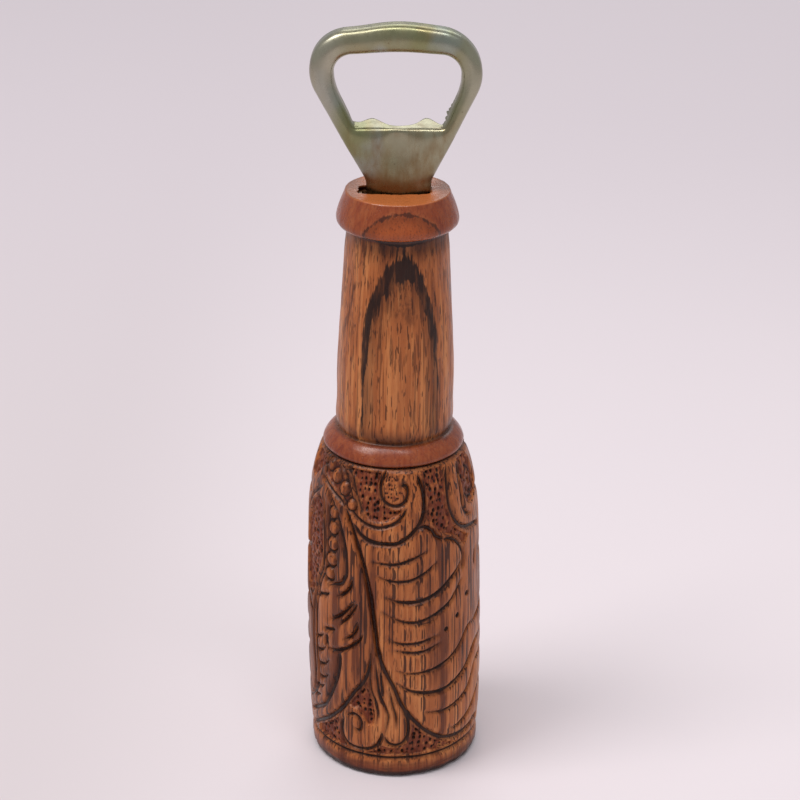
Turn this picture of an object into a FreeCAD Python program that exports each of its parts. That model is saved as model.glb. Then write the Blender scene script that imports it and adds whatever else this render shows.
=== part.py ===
"""Souvenir bottle opener: a bottle-shaped turned wooden handle with a pressed sheet-metal opener head.

Frame: +Z up, millimetres.  The origin is the centre of the flat base that the bottle stands on.
The front of the head faces -Y, and its loop spreads along X.

Three separate pieces make the object:
    wooden_handle  one piece of turned wood, with a mortise sunk into its top
    opener_head    one piece of pressed sheet steel: loop, lifting lip, shank and tang
    tang_adhesive  the glue that fills the mortise around the tang
"""
import FreeCAD, Part
import math
import os

# ---- turned handle: lengths along its axis, from the base up --------------------------------------
base_edge_height = 1.8       # the rounded lower edge of the base
base_rim_height = 5.9        # the plain rim under the carved band
band_height = 82.3           # the carved band, from the base groove to the shoulder groove
belly_rise = 32.0            # from the base groove to the widest part of the body
shoulder_drop = 17.2         # the body starts to turn in this far below the shoulder groove
ring_height = 4.6            # the ring between the shoulder groove and the neck
neck_length = 52.6
neck_swell_rise = 13.2       # from the neck's foot to its thickest part
collar_height = 10.6
collar_widest_rise = 3.6     # from the collar's foot to its widest part

# ---- turned handle: radii -----------------------------------------------------------------------
base_face_radius = 20.2      # flat face that the bottle stands on
base_radius = 22.0
belly_radius = 22.9
body_top_radius = 22.0
shoulder_mid_radius = 20.5   # half way up the shoulder
shoulder_groove_radius = 18.1
neck_foot_radius = 14.8
neck_swell_radius = 14.9
neck_top_radius = 12.6
collar_radius = 15.2
collar_top_radius = 12.1
ring_bulge = 0.9             # how far the shoulder ring stands out from a straight cone
collar_fullness = 0.62       # share of the way up and in that the rounded top of the collar keeps
groove_half_width = 0.8
groove_depth = 0.9

# ---- opening of the loop: widths from its middle, heights above the handle ------------------------
opening_foot_half_width = 10.9
opening_foot_rise = 16.2     # the fold of the lip
opening_foot_round = 1.5
opening_side_half_width = 15.3
opening_side_rise = 26.0
opening_side_round = 13.0
opening_corner_half_width = 15.5
opening_corner_rise = 33.8
opening_corner_round = 4.8
opening_apex_rise = 34.8
opening_crown_round = 80.0
opening_offset_x = 0.4       # the opening is punched slightly to one side of the loop

# ---- pressed opener head ------------------------------------------------------------------------
sheet = 1.1                  # thickness of the pressed sheet
frame_depth = 5.2            # front to back, over the rolled edges
front_face_y = -3.4          # the foremost plane of the head
head_offset_x = -0.85        # the head is glued in slightly to one side of the handle's axis
outer_edge_round = 2.1       # how the outer edge rolls back
inner_edge_round = 1.5       # how the edge of the opening rolls back
outer_round_share = 0.54     # neither roll takes more than this share of the narrowest wall
inner_round_share = 0.40
corner_overhang = 11.3       # the loop's outer corner, measured out from the opening's corner
corner_rise = 4.7            # the same, upwards
loop_corner_round = 10.8
bar_height = 6.9             # the bar over the opening
loop_crown_round = 50.0
shank_rise = 3.2             # above the top of the handle
shank_corner_round = 4.0
tang_half_width = 8.0        # the part that goes into the handle
shank_step = 0.9             # the loop's sloping sides run out this far beyond the tang

# ---- lifting lip: the sheet folded back under the opening, with two teeth on its free edge --------
lip_end_gap = 1.1            # from the end of the lip to the foot corner of the opening
tooth_spacing = 13.4         # between the two teeth
tooth_setback = 0.3          # the teeth stop this far short of the back of the frame
lip_middle_setback = 2.5     # the same between the teeth
lip_end_setback = 2.3        # the same beside the legs

# ---- mortise, tang and adhesive -----------------------------------------------------------------
tang_length = 28.0           # below the top of the handle
mortise_side_clearance = 0.85  # beside the tang, at each end
mortise_face_clearance = 0.7   # before and behind the tang
mortise_end_clearance = 2.0    # under the tang
adhesive_recess = 1.2        # the glue stops this far below the mouth

# ---- places that follow from the sizes above ------------------------------------------------------
shoulder_groove_z = base_rim_height + band_height
belly_z = base_rim_height + belly_rise
body_top_z = shoulder_groove_z - shoulder_drop
neck_foot_z = shoulder_groove_z + ring_height
neck_swell_z = neck_foot_z + neck_swell_rise
collar_foot_z = neck_foot_z + neck_length
collar_widest_z = collar_foot_z + collar_widest_rise
handle_top_z = collar_foot_z + collar_height

TOLERANCE = 1e-3
SMALLEST_ROUND = 0.05        # an edge with less than this is left sharp
UP = FreeCAD.Vector(0, 0, 1)
ORIGIN = FreeCAD.Vector(0, 0, 0)


def point(radius, height):
    """Return a point of the handle's profile, which is drawn in the XZ plane."""
    return FreeCAD.Vector(radius, 0.0, height)


def line(start, end):
    """Return a straight edge."""
    return Part.LineSegment(start, end).toShape()


def arc(start, middle, end):
    """Return a circular edge through three points."""
    return Part.Arc(start, middle, end).toShape()


def handle_flanks():
    """Return the edges of the handle's profile from the base's rounded edge up to the top's rim."""
    base_outer = point(base_radius, base_edge_height)
    belly = point(belly_radius, belly_z)
    body_top = point(body_top_radius, body_top_z)
    shoulder_mid = point(shoulder_mid_radius, (body_top_z + shoulder_groove_z) / 2.0)
    shoulder_end = point(shoulder_groove_radius, shoulder_groove_z)
    ring_mid = point(
        (shoulder_groove_radius + neck_foot_radius) / 2.0 + ring_bulge,
        (shoulder_groove_z + neck_foot_z) / 2.0 + ring_bulge / 2.0,
    )
    neck_foot = point(neck_foot_radius, neck_foot_z)
    neck_swell = point(neck_swell_radius, neck_swell_z)
    neck_top = point(neck_top_radius, collar_foot_z)
    collar_under = point(
        neck_top_radius + 0.8 * (collar_radius - neck_top_radius),
        collar_foot_z + 0.4 * collar_widest_rise,
    )
    collar_widest = point(collar_radius, collar_widest_z)
    collar_over = point(
        collar_top_radius + collar_fullness * (collar_radius - collar_top_radius),
        collar_widest_z + collar_fullness * (handle_top_z - collar_widest_z),
    )
    collar_rim = point(collar_top_radius, handle_top_z)
    return [
        arc(base_outer, belly, body_top),
        arc(body_top, shoulder_mid, shoulder_end),
        arc(shoulder_end, ring_mid, neck_foot),
        arc(neck_foot, neck_swell, neck_top),
        arc(neck_top, collar_under, collar_widest),
        arc(collar_widest, collar_over, collar_rim),
    ]


def profile_point(edges, height):
    """Return the point of the profile's edges that lies at a height."""
    cut = Part.makeLine(point(0.0, height), point(2.0 * belly_radius, height))
    distances = [edge.distToShape(cut) for edge in edges]
    nearest = min(distances, key=lambda found: found[0])
    return nearest[1][0][0]


def groove_tool(centre):
    """Return the ring that a V-shaped turning tool cuts away at a point of the profile."""
    outside = centre.x + groove_half_width
    tip = point(centre.x - groove_depth, centre.z)
    low = point(outside, centre.z - 2.0 * groove_half_width)
    high = point(outside, centre.z + 2.0 * groove_half_width)
    face = Part.Face(Part.makePolygon([tip, low, high, tip]))
    return face.revolve(ORIGIN, UP, 360)


def turned_handle():
    """Return the turned handle, still without its mortise."""
    flanks = handle_flanks()
    base_inner = point(base_face_radius, 0.0)
    base_outer = point(base_radius, base_edge_height)
    quarter_bend = 1.0 - math.sin(math.radians(45.0))
    base_bend = point(
        base_radius - quarter_bend * (base_radius - base_face_radius),
        quarter_bend * base_edge_height,
    )
    axis_foot = point(0.0, 0.0)
    axis_top = point(0.0, handle_top_z)
    collar_rim = point(collar_top_radius, handle_top_z)
    edges = [line(axis_foot, base_inner), arc(base_inner, base_bend, base_outer)]
    edges += flanks
    edges += [line(collar_rim, axis_top), line(axis_top, axis_foot)]
    solid = Part.Face(Part.Wire(edges)).revolve(ORIGIN, UP, 360)
    for height in (base_rim_height, shoulder_groove_z, neck_foot_z):
        solid = solid.cut(groove_tool(profile_point(flanks, height)))
    return solid


def rounded_outline(corners, y):
    """Return a closed wire in the plane at y through (x, z, radius) corners with tangent arcs."""
    vertices = [FreeCAD.Vector(x, y, z) for x, z, _ in corners]
    starts, arcs, ends = [], [], []
    for index, (_, _, radius) in enumerate(corners):
        corner = vertices[index]
        to_previous = (vertices[index - 1] - corner).normalize()
        to_next = (vertices[(index + 1) % len(corners)] - corner).normalize()
        half_opening = to_previous.getAngle(to_next) / 2.0
        reach = radius / math.tan(half_opening)
        inward = (to_previous + to_next).normalize()
        middle = corner + inward * (radius / math.sin(half_opening) - radius)
        starts.append(corner + to_previous * reach)
        ends.append(corner + to_next * reach)
        arcs.append(arc(starts[-1], middle, ends[-1]))
    edges = []
    for index, bend in enumerate(arcs):
        edges.append(bend)
        edges.append(line(ends[index], starts[(index + 1) % len(corners)]))
    return Part.Wire(edges)


def mirrored(half):
    """Return the corners of a whole outline from its right half, listed from bottom to top."""
    left = [(-x, z, radius) for x, z, radius in reversed(half) if x > 0.0]
    return half + left


def head_outline(y):
    """Return the outer outline of the head, tang included, in the plane at y."""
    half = [
        (tang_half_width, handle_top_z - tang_length, sheet),
        (tang_half_width, handle_top_z + shank_rise - shank_step, shank_corner_round),
        (
            opening_corner_half_width + corner_overhang,
            handle_top_z + opening_corner_rise + corner_rise,
            loop_corner_round,
        ),
        (0.0, handle_top_z + opening_apex_rise + bar_height, loop_crown_round),
    ]
    return rounded_outline(mirrored(half), y)


def opening_outline(y):
    """Return the outline of the loop's opening in the plane at y."""
    half = [
        (opening_foot_half_width, handle_top_z + opening_foot_rise, opening_foot_round),
        (opening_side_half_width, handle_top_z + opening_side_rise, opening_side_round),
        (opening_corner_half_width, handle_top_z + opening_corner_rise, opening_corner_round),
        (0.0, handle_top_z + opening_apex_rise, opening_crown_round),
    ]
    wire = rounded_outline(mirrored(half), y)
    wire.translate(FreeCAD.Vector(opening_offset_x, 0, 0))
    return wire


def front_edges(solid, front, within):
    """Return the edges of a solid that lie in its front plane and inside a box."""
    chosen = []
    for edge in solid.Edges:
        box = edge.BoundBox
        flat = abs(box.YMin - front) < TOLERANCE and abs(box.YMax - front) < TOLERANCE
        if flat and within.isInside(box):
            chosen.append(edge)
    return chosen


def rounded(solid, radius, edges):
    """Return a solid with its edges rounded, or as it is where the radius is next to nothing."""
    if radius < SMALLEST_ROUND:
        return solid
    return solid.makeFillet(radius, edges)


def rolled_form(outer, opening, front, outer_round, inner_round):
    """Return a plate of the outline less the opening, with both its front edges rolled back."""
    through = FreeCAD.Vector(0, frame_depth, 0)
    plate = Part.Face(outer).extrude(through)
    everywhere = plate.BoundBox
    everywhere.enlarge(1.0)
    plate = rounded(plate, outer_round, front_edges(plate, front, everywhere))
    hole = Part.Face(opening).extrude(through)
    around_hole = hole.BoundBox
    around_hole.enlarge(TOLERANCE)
    plate = plate.cut(hole)
    return rounded(plate, inner_round, front_edges(plate, front, around_hole))


def lip_trim():
    """Return the tool that trims the folded lip to its wavy free edge with two teeth."""
    end = opening_foot_half_width - lip_end_gap
    tooth = tooth_spacing / 2.0
    flank = tooth / 2.0
    flank_setback = (tooth_setback + lip_middle_setback) / 2.0
    half = [(flank, flank_setback), (tooth, tooth_setback), (end, lip_end_setback)]
    setbacks = [(-x, setback) for x, setback in reversed(half)] + [(0.0, lip_middle_setback)] + half
    floor = handle_top_z + opening_foot_rise - 1.5 * sheet
    back = front_face_y + frame_depth
    points = [FreeCAD.Vector(x, back - setback, floor) for x, setback in setbacks]
    wave = Part.BSplineCurve()
    wave.interpolate(points)
    left_back = FreeCAD.Vector(-end, back + 1.0, floor)
    right_back = FreeCAD.Vector(end, back + 1.0, floor)
    edges = [
        wave.toShape(),
        line(points[-1], right_back),
        line(right_back, left_back),
        line(left_back, points[0]),
    ]
    tool = Part.Face(Part.Wire(edges)).extrude(UP * 2.0 * sheet)
    tool.translate(FreeCAD.Vector(opening_offset_x, 0, 0))
    return tool


def pressed_head():
    """Return the pressed head: its outer form less an inner form one sheet's thickness smaller."""
    outer = head_outline(front_face_y)
    opening = opening_outline(front_face_y)
    wall = outer.distToShape(opening)[0]
    outer_round = min(outer_edge_round, outer_round_share * wall)
    inner_round = min(inner_edge_round, inner_round_share * wall)
    form = rolled_form(outer, opening, front_face_y, outer_round, inner_round)
    inner_y = front_face_y + sheet
    hollow = rolled_form(
        head_outline(inner_y).makeOffset2D(-sheet),
        opening_outline(inner_y).makeOffset2D(sheet),
        inner_y,
        outer_round - sheet,
        inner_round - sheet,
    )
    head = form.cut(hollow).cut(lip_trim())
    head.translate(FreeCAD.Vector(head_offset_x, 0, 0))
    return head


def mortise_block(top):
    """Return the block of space inside the mortise, from its floor up to a height."""
    half = tang_half_width + mortise_side_clearance
    floor = handle_top_z - tang_length - mortise_end_clearance
    corner = FreeCAD.Vector(head_offset_x - half, front_face_y - mortise_face_clearance, floor)
    return Part.makeBox(2.0 * half, frame_depth + 2.0 * mortise_face_clearance, top - floor, corner)


def build_parts():
    """Return every piece of the opener by its name."""
    head = pressed_head()
    handle = turned_handle().cut(mortise_block(handle_top_z + 1.0))
    adhesive = mortise_block(handle_top_z - adhesive_recess).cut(head)
    return {"wooden_handle": handle, "opener_head": head, "tang_adhesive": adhesive}


os.makedirs("parts", exist_ok=True)
for name, shape in build_parts().items():
    shape.exportStep(f"parts/{name}.step")
    print(f"{name}: valid {shape.isValid()}, solids {len(shape.Solids)}, volume {shape.Volume:.1f} mm3")
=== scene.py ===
"""Looks of a souvenir bottle opener: a carved bottle-shaped handle with a pressed metal opener head.

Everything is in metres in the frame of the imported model: +Z up, origin in the middle of the flat base,
the front of the head facing -Y.  Lengths in the classes are in millimetres, as a maker would write them.
"""
from __future__ import annotations

import logging
import math
from dataclasses import dataclass, field
from enum import Enum
from typing import Sequence
import bpy  # noqa: E402
import numpy as np  # noqa: E402
from mathutils import Matrix, Vector  # noqa: E402


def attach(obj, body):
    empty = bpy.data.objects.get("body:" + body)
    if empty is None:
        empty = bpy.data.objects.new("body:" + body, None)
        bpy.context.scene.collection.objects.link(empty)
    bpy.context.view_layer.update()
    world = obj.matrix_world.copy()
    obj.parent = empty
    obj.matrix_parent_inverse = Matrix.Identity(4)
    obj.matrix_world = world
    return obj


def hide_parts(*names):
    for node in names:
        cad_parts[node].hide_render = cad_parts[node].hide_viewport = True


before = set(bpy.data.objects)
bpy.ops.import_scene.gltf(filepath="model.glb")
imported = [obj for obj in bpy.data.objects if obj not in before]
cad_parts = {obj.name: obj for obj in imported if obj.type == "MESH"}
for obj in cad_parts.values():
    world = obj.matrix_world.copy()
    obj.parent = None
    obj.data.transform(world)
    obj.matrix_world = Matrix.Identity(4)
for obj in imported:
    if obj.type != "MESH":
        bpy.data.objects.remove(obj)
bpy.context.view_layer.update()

LOG = logging.getLogger("bottle_opener")
MM = 0.001
Point = tuple[float, float]
Corner = tuple[float, float, float]
Colour = tuple[float, float, float, float]
Socket = bpy.types.NodeSocket
CUT_REACH = 2.0     # mm from a cut's edge up to which its nearness is kept on the mesh
PIT_REACH = 1.0     # the same for a punched pit
REPEATS = (-180.0, 0.0, 180.0)      # turns, in degrees, at which the carving comes back
AIM = (0.0, 0.0, 0.09)              # the middle of the opener, in metres


class Slot(Enum):
    """Two material slot names, which no piece in this script takes."""

    WOOD = "varnished_wood"
    METAL = "plated_steel"


class Mark(Enum):
    """Names of the numbers that the meshes carry for their finish."""

    CUT = "near_cut"
    PIT = "near_pit"
    GROUND = "punched_ground"


# ---- shared sums ----------------------------------------------------------------------------------


def smooth_step(value: np.ndarray, start: float, end: float) -> np.ndarray:
    """Rise softly from 0 at start to 1 at end.

    Args:
        value: the numbers to look up.
        start: where the rise begins.
        end: where it is complete.

    Returns:
        3t^2 - 2t^3 of the share t of the way from start to end.
    """
    share = np.clip((value - start) / (end - start), 0.0, 1.0)
    return share * share * (3.0 - 2.0 * share)


def bell(value: np.ndarray, middle: float, width: float) -> np.ndarray:
    """Return exp(-((value - middle) / width)^2), a soft hump of height 1."""
    return np.exp(-(((value - middle) / width) ** 2))


def wobble(angle: np.ndarray, height: np.ndarray, waves: int, pitch: float, seed: int) -> np.ndarray:
    """Return a smooth random field about 0 that closes on itself round the handle.

    It is a third of the sum of eight sine waves.  Each has an even number of turns round the axis,
    up to waves, so that the front and the back half meet.  Its slope along the height is random,
    with waves no shorter than pitch, and so is its phase.

    Args:
        angle: angles round the axis, in radians.
        height: heights in millimetres.
        waves: the most waves round the handle.
        pitch: the shortest wave along the height, in millimetres.
        seed: fixes the random choice.

    Returns:
        Values of about -1 to 1, in the shape of the inputs.
    """
    dice = np.random.default_rng(seed)
    total = np.zeros(np.broadcast(angle, height).shape)
    for _ in range(8):
        turns = 2.0 * dice.integers(0, waves // 2 + 1)
        slope = dice.uniform(-1.0, 1.0) * 2.0 * math.pi / pitch
        total = total + np.sin(turns * angle + slope * height + dice.uniform(0.0, 2.0 * math.pi))
    return total / 3.0


def distance_along(path: np.ndarray) -> np.ndarray:
    """Return how far along a path each of its points lies."""
    return np.concatenate([[0.0], np.cumsum(np.hypot(*np.diff(path, axis=0).T))])


def smooth_path(points: Sequence[Point], step: float) -> np.ndarray:
    """Return a smooth curve through points.

    Between two neighbours it is a cubic whose end slopes are averaged from both sides, so that the
    pieces meet without a bend.  Two points alone are joined straight.

    Args:
        points: the points that the curve passes through, in millimetres.
        step: the spacing wanted along the curve.

    Returns:
        An array of points, one per row.
    """
    knots = np.asarray(points, dtype=float)
    if len(knots) == 2:
        count = max(2, int(np.hypot(*(knots[1] - knots[0])) / step) + 1)
        return knots[0] + np.linspace(0.0, 1.0, count)[:, None] * (knots[1] - knots[0])
    run = distance_along(knots)
    slopes = np.gradient(knots, run, axis=0)
    places = np.linspace(0.0, run[-1], max(4, int(run[-1] / step) + 1))
    span = np.clip(np.searchsorted(run, places, side="right") - 1, 0, len(knots) - 2)
    width = (run[span + 1] - run[span])[:, None]
    t = (places - run[span])[:, None] / width
    return (
        (2 * t**3 - 3 * t**2 + 1) * knots[span]
        + (t**3 - 2 * t**2 + t) * width * slopes[span]
        + (3 * t**2 - 2 * t**3) * knots[span + 1]
        + (t**3 - t**2) * width * slopes[span + 1]
    )


def nearest_on_path(x: np.ndarray, z: np.ndarray, path: np.ndarray) -> tuple[np.ndarray, ...]:
    """Measure flat points against a path of straight steps.

    Args:
        x: first coordinates of the points, as one row of numbers.
        z: second coordinates.
        path: the points of the path.

    Returns:
        The distance to the nearest step, the share of the path's length there, and which side the
        point lies on, +1 to the left of the path and -1 to the right.
    """
    start = path[:-1]
    step = path[1:] - start
    length2 = np.maximum((step**2).sum(1), 1e-9)
    dx = x[:, None] - start[None, :, 0]
    dz = z[:, None] - start[None, :, 1]
    along = np.clip((dx * step[:, 0] + dz * step[:, 1]) / length2, 0.0, 1.0)
    off2 = (dx - along * step[:, 0]) ** 2 + (dz - along * step[:, 1]) ** 2
    best = off2.argmin(1)
    row = np.arange(len(x))
    side = np.sign(step[best, 0] * dz[row, best] - step[best, 1] * dx[row, best])
    return np.sqrt(off2[row, best]), (best + along[row, best]) / len(step), side


def window_between(s: np.ndarray, z: np.ndarray, low: np.ndarray, high: np.ndarray) -> tuple | None:
    """Pick the part of a grid that lies between two flat corners.

    Args:
        s: first coordinates of the grid, the same in every row.
        z: second coordinates, the same in every column.
        low: the lower left corner.
        high: the upper right corner.

    Returns:
        An index for the grid, or None where nothing lies between the corners.
    """
    rows = np.flatnonzero((z[:, 0] > low[1]) & (z[:, 0] < high[1]))
    columns = np.flatnonzero((s[0] > low[0]) & (s[0] < high[0]))
    return np.ix_(rows, columns) if len(rows) and len(columns) else None


def inside_outline(x: np.ndarray, z: np.ndarray, outline: np.ndarray) -> np.ndarray:
    """Find the flat points inside a closed outline, by counting the edges crossed on the way out.

    Args:
        x: first coordinates of the points, as one row of numbers.
        z: second coordinates.
        outline: the corners of the outline.

    Returns:
        True for each point inside.
    """
    start = outline
    end = np.roll(outline, -1, axis=0)
    above = (start[None, :, 1] > z[:, None]) != (end[None, :, 1] > z[:, None])
    rise = np.where(end[:, 1] == start[:, 1], 1e-9, end[:, 1] - start[:, 1])
    cross = start[:, 0] + (z[:, None] - start[:, 1]) * (end[:, 0] - start[:, 0]) / rise
    return ((above & (x[:, None] < cross)).sum(1) % 2) == 1


# ---- meshes ---------------------------------------------------------------------------------------


@dataclass
class Solid:
    """Collects the points and faces of one piece, in millimetres, and makes its object."""

    name: str
    points: list[np.ndarray] = field(default_factory=list)
    faces: list[list[int]] = field(default_factory=list)
    marks: dict[Mark, list[np.ndarray]] = field(default_factory=dict)
    creased: list[np.ndarray] = field(default_factory=list)
    count: int = 0

    def add_points(self, places: np.ndarray, marks: dict[Mark, np.ndarray] | None = None) -> np.ndarray:
        """Add a grid of points.

        Args:
            places: points in an array whose last axis is x, y, z.
            marks: numbers for the finish, one per point; a mark left out is 0.

        Returns:
            The numbers of the points, in the grid's shape.
        """
        grid = places.shape[:-1]
        size = int(np.prod(grid))
        self.points.append(places.reshape(-1, 3))
        for mark in Mark:
            values = (marks or {}).get(mark)
            flat = np.zeros(size) if values is None else np.asarray(values, dtype=float).reshape(-1)
            self.marks.setdefault(mark, []).append(flat)
        numbers = self.count + np.arange(size).reshape(grid)
        self.count += size
        return numbers

    def skin(self, numbers: np.ndarray, closed: bool = False, flip: bool = False) -> None:
        """Join a grid of point numbers with quads.

        Args:
            numbers: rows along the first direction, columns along the second.
            closed: True to join the last column to the first.
            flip: True to turn the faces the other way round.
        """
        grid = np.concatenate([numbers, numbers[:, :1]], axis=1) if closed else numbers
        quads = np.stack([grid[:-1, :-1], grid[:-1, 1:], grid[1:, 1:], grid[1:, :-1]], axis=-1)
        quads = quads.reshape(-1, 4)
        self.faces.extend((quads[:, ::-1] if flip else quads).tolist())

    def cap(self, ring: np.ndarray, flip: bool = False) -> None:
        """Close a ring of point numbers with one flat face."""
        self.faces.append((ring[::-1] if flip else ring).tolist())

    def crease(self, numbers: np.ndarray) -> None:
        """Keep the edges between these points sharp."""
        self.creased.append(np.asarray(numbers).reshape(-1))

    def make(self) -> bpy.types.Object:
        """Make the object, in metres.

        Returns:
            The new object, at the origin, with smooth faces and the marks as attributes.
        """
        mesh = bpy.data.meshes.new(self.name)
        mesh.from_pydata(np.concatenate(self.points) * MM, [], self.faces)
        for mark, values in self.marks.items():
            layer = mesh.attributes.new(mark.value, "FLOAT", "POINT")
            layer.data.foreach_set("value", np.concatenate(values).astype(np.float32))
        mesh.shade_smooth()
        if self.creased:
            sharp = np.zeros(self.count, dtype=bool)
            sharp[np.concatenate(self.creased)] = True
            ends = np.empty(2 * len(mesh.edges), dtype=np.int32)
            mesh.edges.foreach_get("vertices", ends)
            ends = ends.reshape(-1, 2)
            layer = mesh.attributes.new("sharp_edge", "BOOLEAN", "EDGE")
            layer.data.foreach_set("value", sharp[ends[:, 0]] & sharp[ends[:, 1]])
        mesh.validate()
        piece = bpy.data.objects.new(self.name, mesh)
        bpy.context.scene.collection.objects.link(piece)
        return piece


def settle(piece: bpy.types.Object, stands_for: str, finish: bpy.types.Material) -> None:
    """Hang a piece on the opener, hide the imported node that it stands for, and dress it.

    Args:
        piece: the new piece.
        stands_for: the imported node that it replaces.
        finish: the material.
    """
    piece.data.materials.append(finish)
    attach(piece, "root")
    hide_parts(stands_for)
    LOG.info("%s: %d faces, finish %s", piece.name, len(piece.data.polygons), finish.name)


# ---- finishes -------------------------------------------------------------------------------------


def paint(red: int, green: int, blue: int) -> Colour:
    """Turn a colour of the 0-255 screen scale into the shares of light that shaders use.

    A share is the screen value over 12.92 at the dark end, and above it the power 2.4 of the value
    raised by 0.055 and scaled to end at 1.

    Args:
        red: the red value.
        green: the green value.
        blue: the blue value.

    Returns:
        Red, green and blue shares, and 1 for the cover.
    """
    screen = np.array([red, green, blue]) / 255.0
    share = np.where(screen <= 0.04045, screen / 12.92, ((screen + 0.055) / 1.055) ** 2.4)
    return (float(share[0]), float(share[1]), float(share[2]), 1.0)


class Graph:
    """Adds and joins the nodes of one material."""

    def __init__(self, name: str) -> None:
        """Start a material with its surface shader and the place on the piece in millimetres.

        Args:
            name: the material's name.
        """
        self.material = bpy.data.materials.new(name)
        self.material.use_nodes = True
        self.nodes = self.material.node_tree.nodes
        self.links = self.material.node_tree.links
        self.shader = self.nodes["Principled BSDF"]
        coordinates = self.nodes.new("ShaderNodeTexCoord")
        scaled = self.nodes.new("ShaderNodeVectorMath")
        scaled.operation = "SCALE"
        scaled.inputs["Scale"].default_value = 1.0 / MM
        self.links.new(coordinates.outputs["Object"], scaled.inputs[0])
        self.place = scaled.outputs[0]

    def join(self, source: object, target: Socket) -> None:
        """Put a socket or a plain value on a socket.

        Args:
            source: the socket or value to read.
            target: the socket that takes it.
        """
        if isinstance(source, Socket):
            self.links.new(source, target)
        else:
            target.default_value = source

    def sum(self, kind: str, *values: object, clamp: bool = False) -> Socket:
        """Return a Math node's result.

        Args:
            kind: the node's operation.
            values: sockets or numbers.
            clamp: True to keep the result within 0 and 1.

        Returns:
            The result's socket.
        """
        node = self.nodes.new("ShaderNodeMath")
        node.operation = kind
        node.use_clamp = clamp
        for value, target in zip(values, node.inputs):
            self.join(value, target)
        return node.outputs[0]

    def stretch(self, x: float, y: float, z: float) -> Socket:
        """Stretch the place by a factor along each axis.

        Args:
            x: the factor across.
            y: the factor from front to back.
            z: the factor along the height; a small one draws the pattern out upright.

        Returns:
            The stretched place's socket.
        """
        node = self.nodes.new("ShaderNodeVectorMath")
        node.operation = "MULTIPLY"
        self.join(self.place, node.inputs[0])
        node.inputs[1].default_value = (x, y, z)
        return node.outputs[0]

    def axis(self, letter: str) -> Socket:
        """Read one coordinate of the place.

        Args:
            letter: X, Y or Z.

        Returns:
            The coordinate's socket, in millimetres.
        """
        node = self.nodes.new("ShaderNodeSeparateXYZ")
        self.join(self.place, node.inputs[0])
        return node.outputs[letter]

    def noise(self, where: Socket, scale: float, detail: float = 2.0, rough: float = 0.5) -> Socket:
        """Return soft random values of about 0.3 to 0.7.

        Args:
            where: the stretched place.
            scale: lumps per millimetre.
            detail: how many finer layers are added.
            rough: how strong the finer layers are.

        Returns:
            The value's socket.
        """
        node = self.nodes.new("ShaderNodeTexNoise")
        self.join(where, node.inputs["Vector"])
        node.inputs["Scale"].default_value = scale
        node.inputs["Detail"].default_value = detail
        node.inputs["Roughness"].default_value = rough
        return node.outputs["Fac"]

    def mark(self, mark: Mark) -> Socket:
        """Read a number that the mesh carries.

        Args:
            mark: which number.

        Returns:
            The number's socket.
        """
        node = self.nodes.new("ShaderNodeAttribute")
        node.attribute_name = mark.value
        return node.outputs["Fac"]

    def span(self, value: Socket, low: float, high: float, first: float = 0.0, last: float = 1.0) -> Socket:
        """Turn the values from low to high softly into first to last.

        Args:
            value: the socket to read.
            low: the value that gives first.
            high: the value that gives last.
            first: the result at low and below.
            last: the result at high and above.

        Returns:
            The result's socket.
        """
        node = self.nodes.new("ShaderNodeMapRange")
        node.interpolation_type = "SMOOTHSTEP"
        self.join(value, node.inputs["Value"])
        node.inputs["From Min"].default_value = low
        node.inputs["From Max"].default_value = high
        node.inputs["To Min"].default_value = first
        node.inputs["To Max"].default_value = last
        return node.outputs["Result"]

    def blend(self, share: object, first: object, second: object) -> Socket:
        """Return the mix of two colours.

        Args:
            share: how much of the second.
            first: a colour or socket.
            second: a colour or socket.

        Returns:
            The colour's socket.
        """
        node = self.nodes.new("ShaderNodeMix")
        node.data_type = "RGBA"
        self.join(share, node.inputs[0])
        self.join(first, node.inputs[6])
        self.join(second, node.inputs[7])
        return node.outputs[2]

    def bump(self, height: object, depth: float, strength: float) -> None:
        """Give the surface a fine relief.

        Args:
            height: the relief, from 0 to 1.
            depth: how deep that is, in millimetres.
            strength: how much of it shows.
        """
        node = self.nodes.new("ShaderNodeBump")
        node.inputs["Strength"].default_value = strength
        node.inputs["Distance"].default_value = depth * MM
        self.join(height, node.inputs["Height"])
        self.links.new(node.outputs["Normal"], self.shader.inputs["Normal"])


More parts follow.
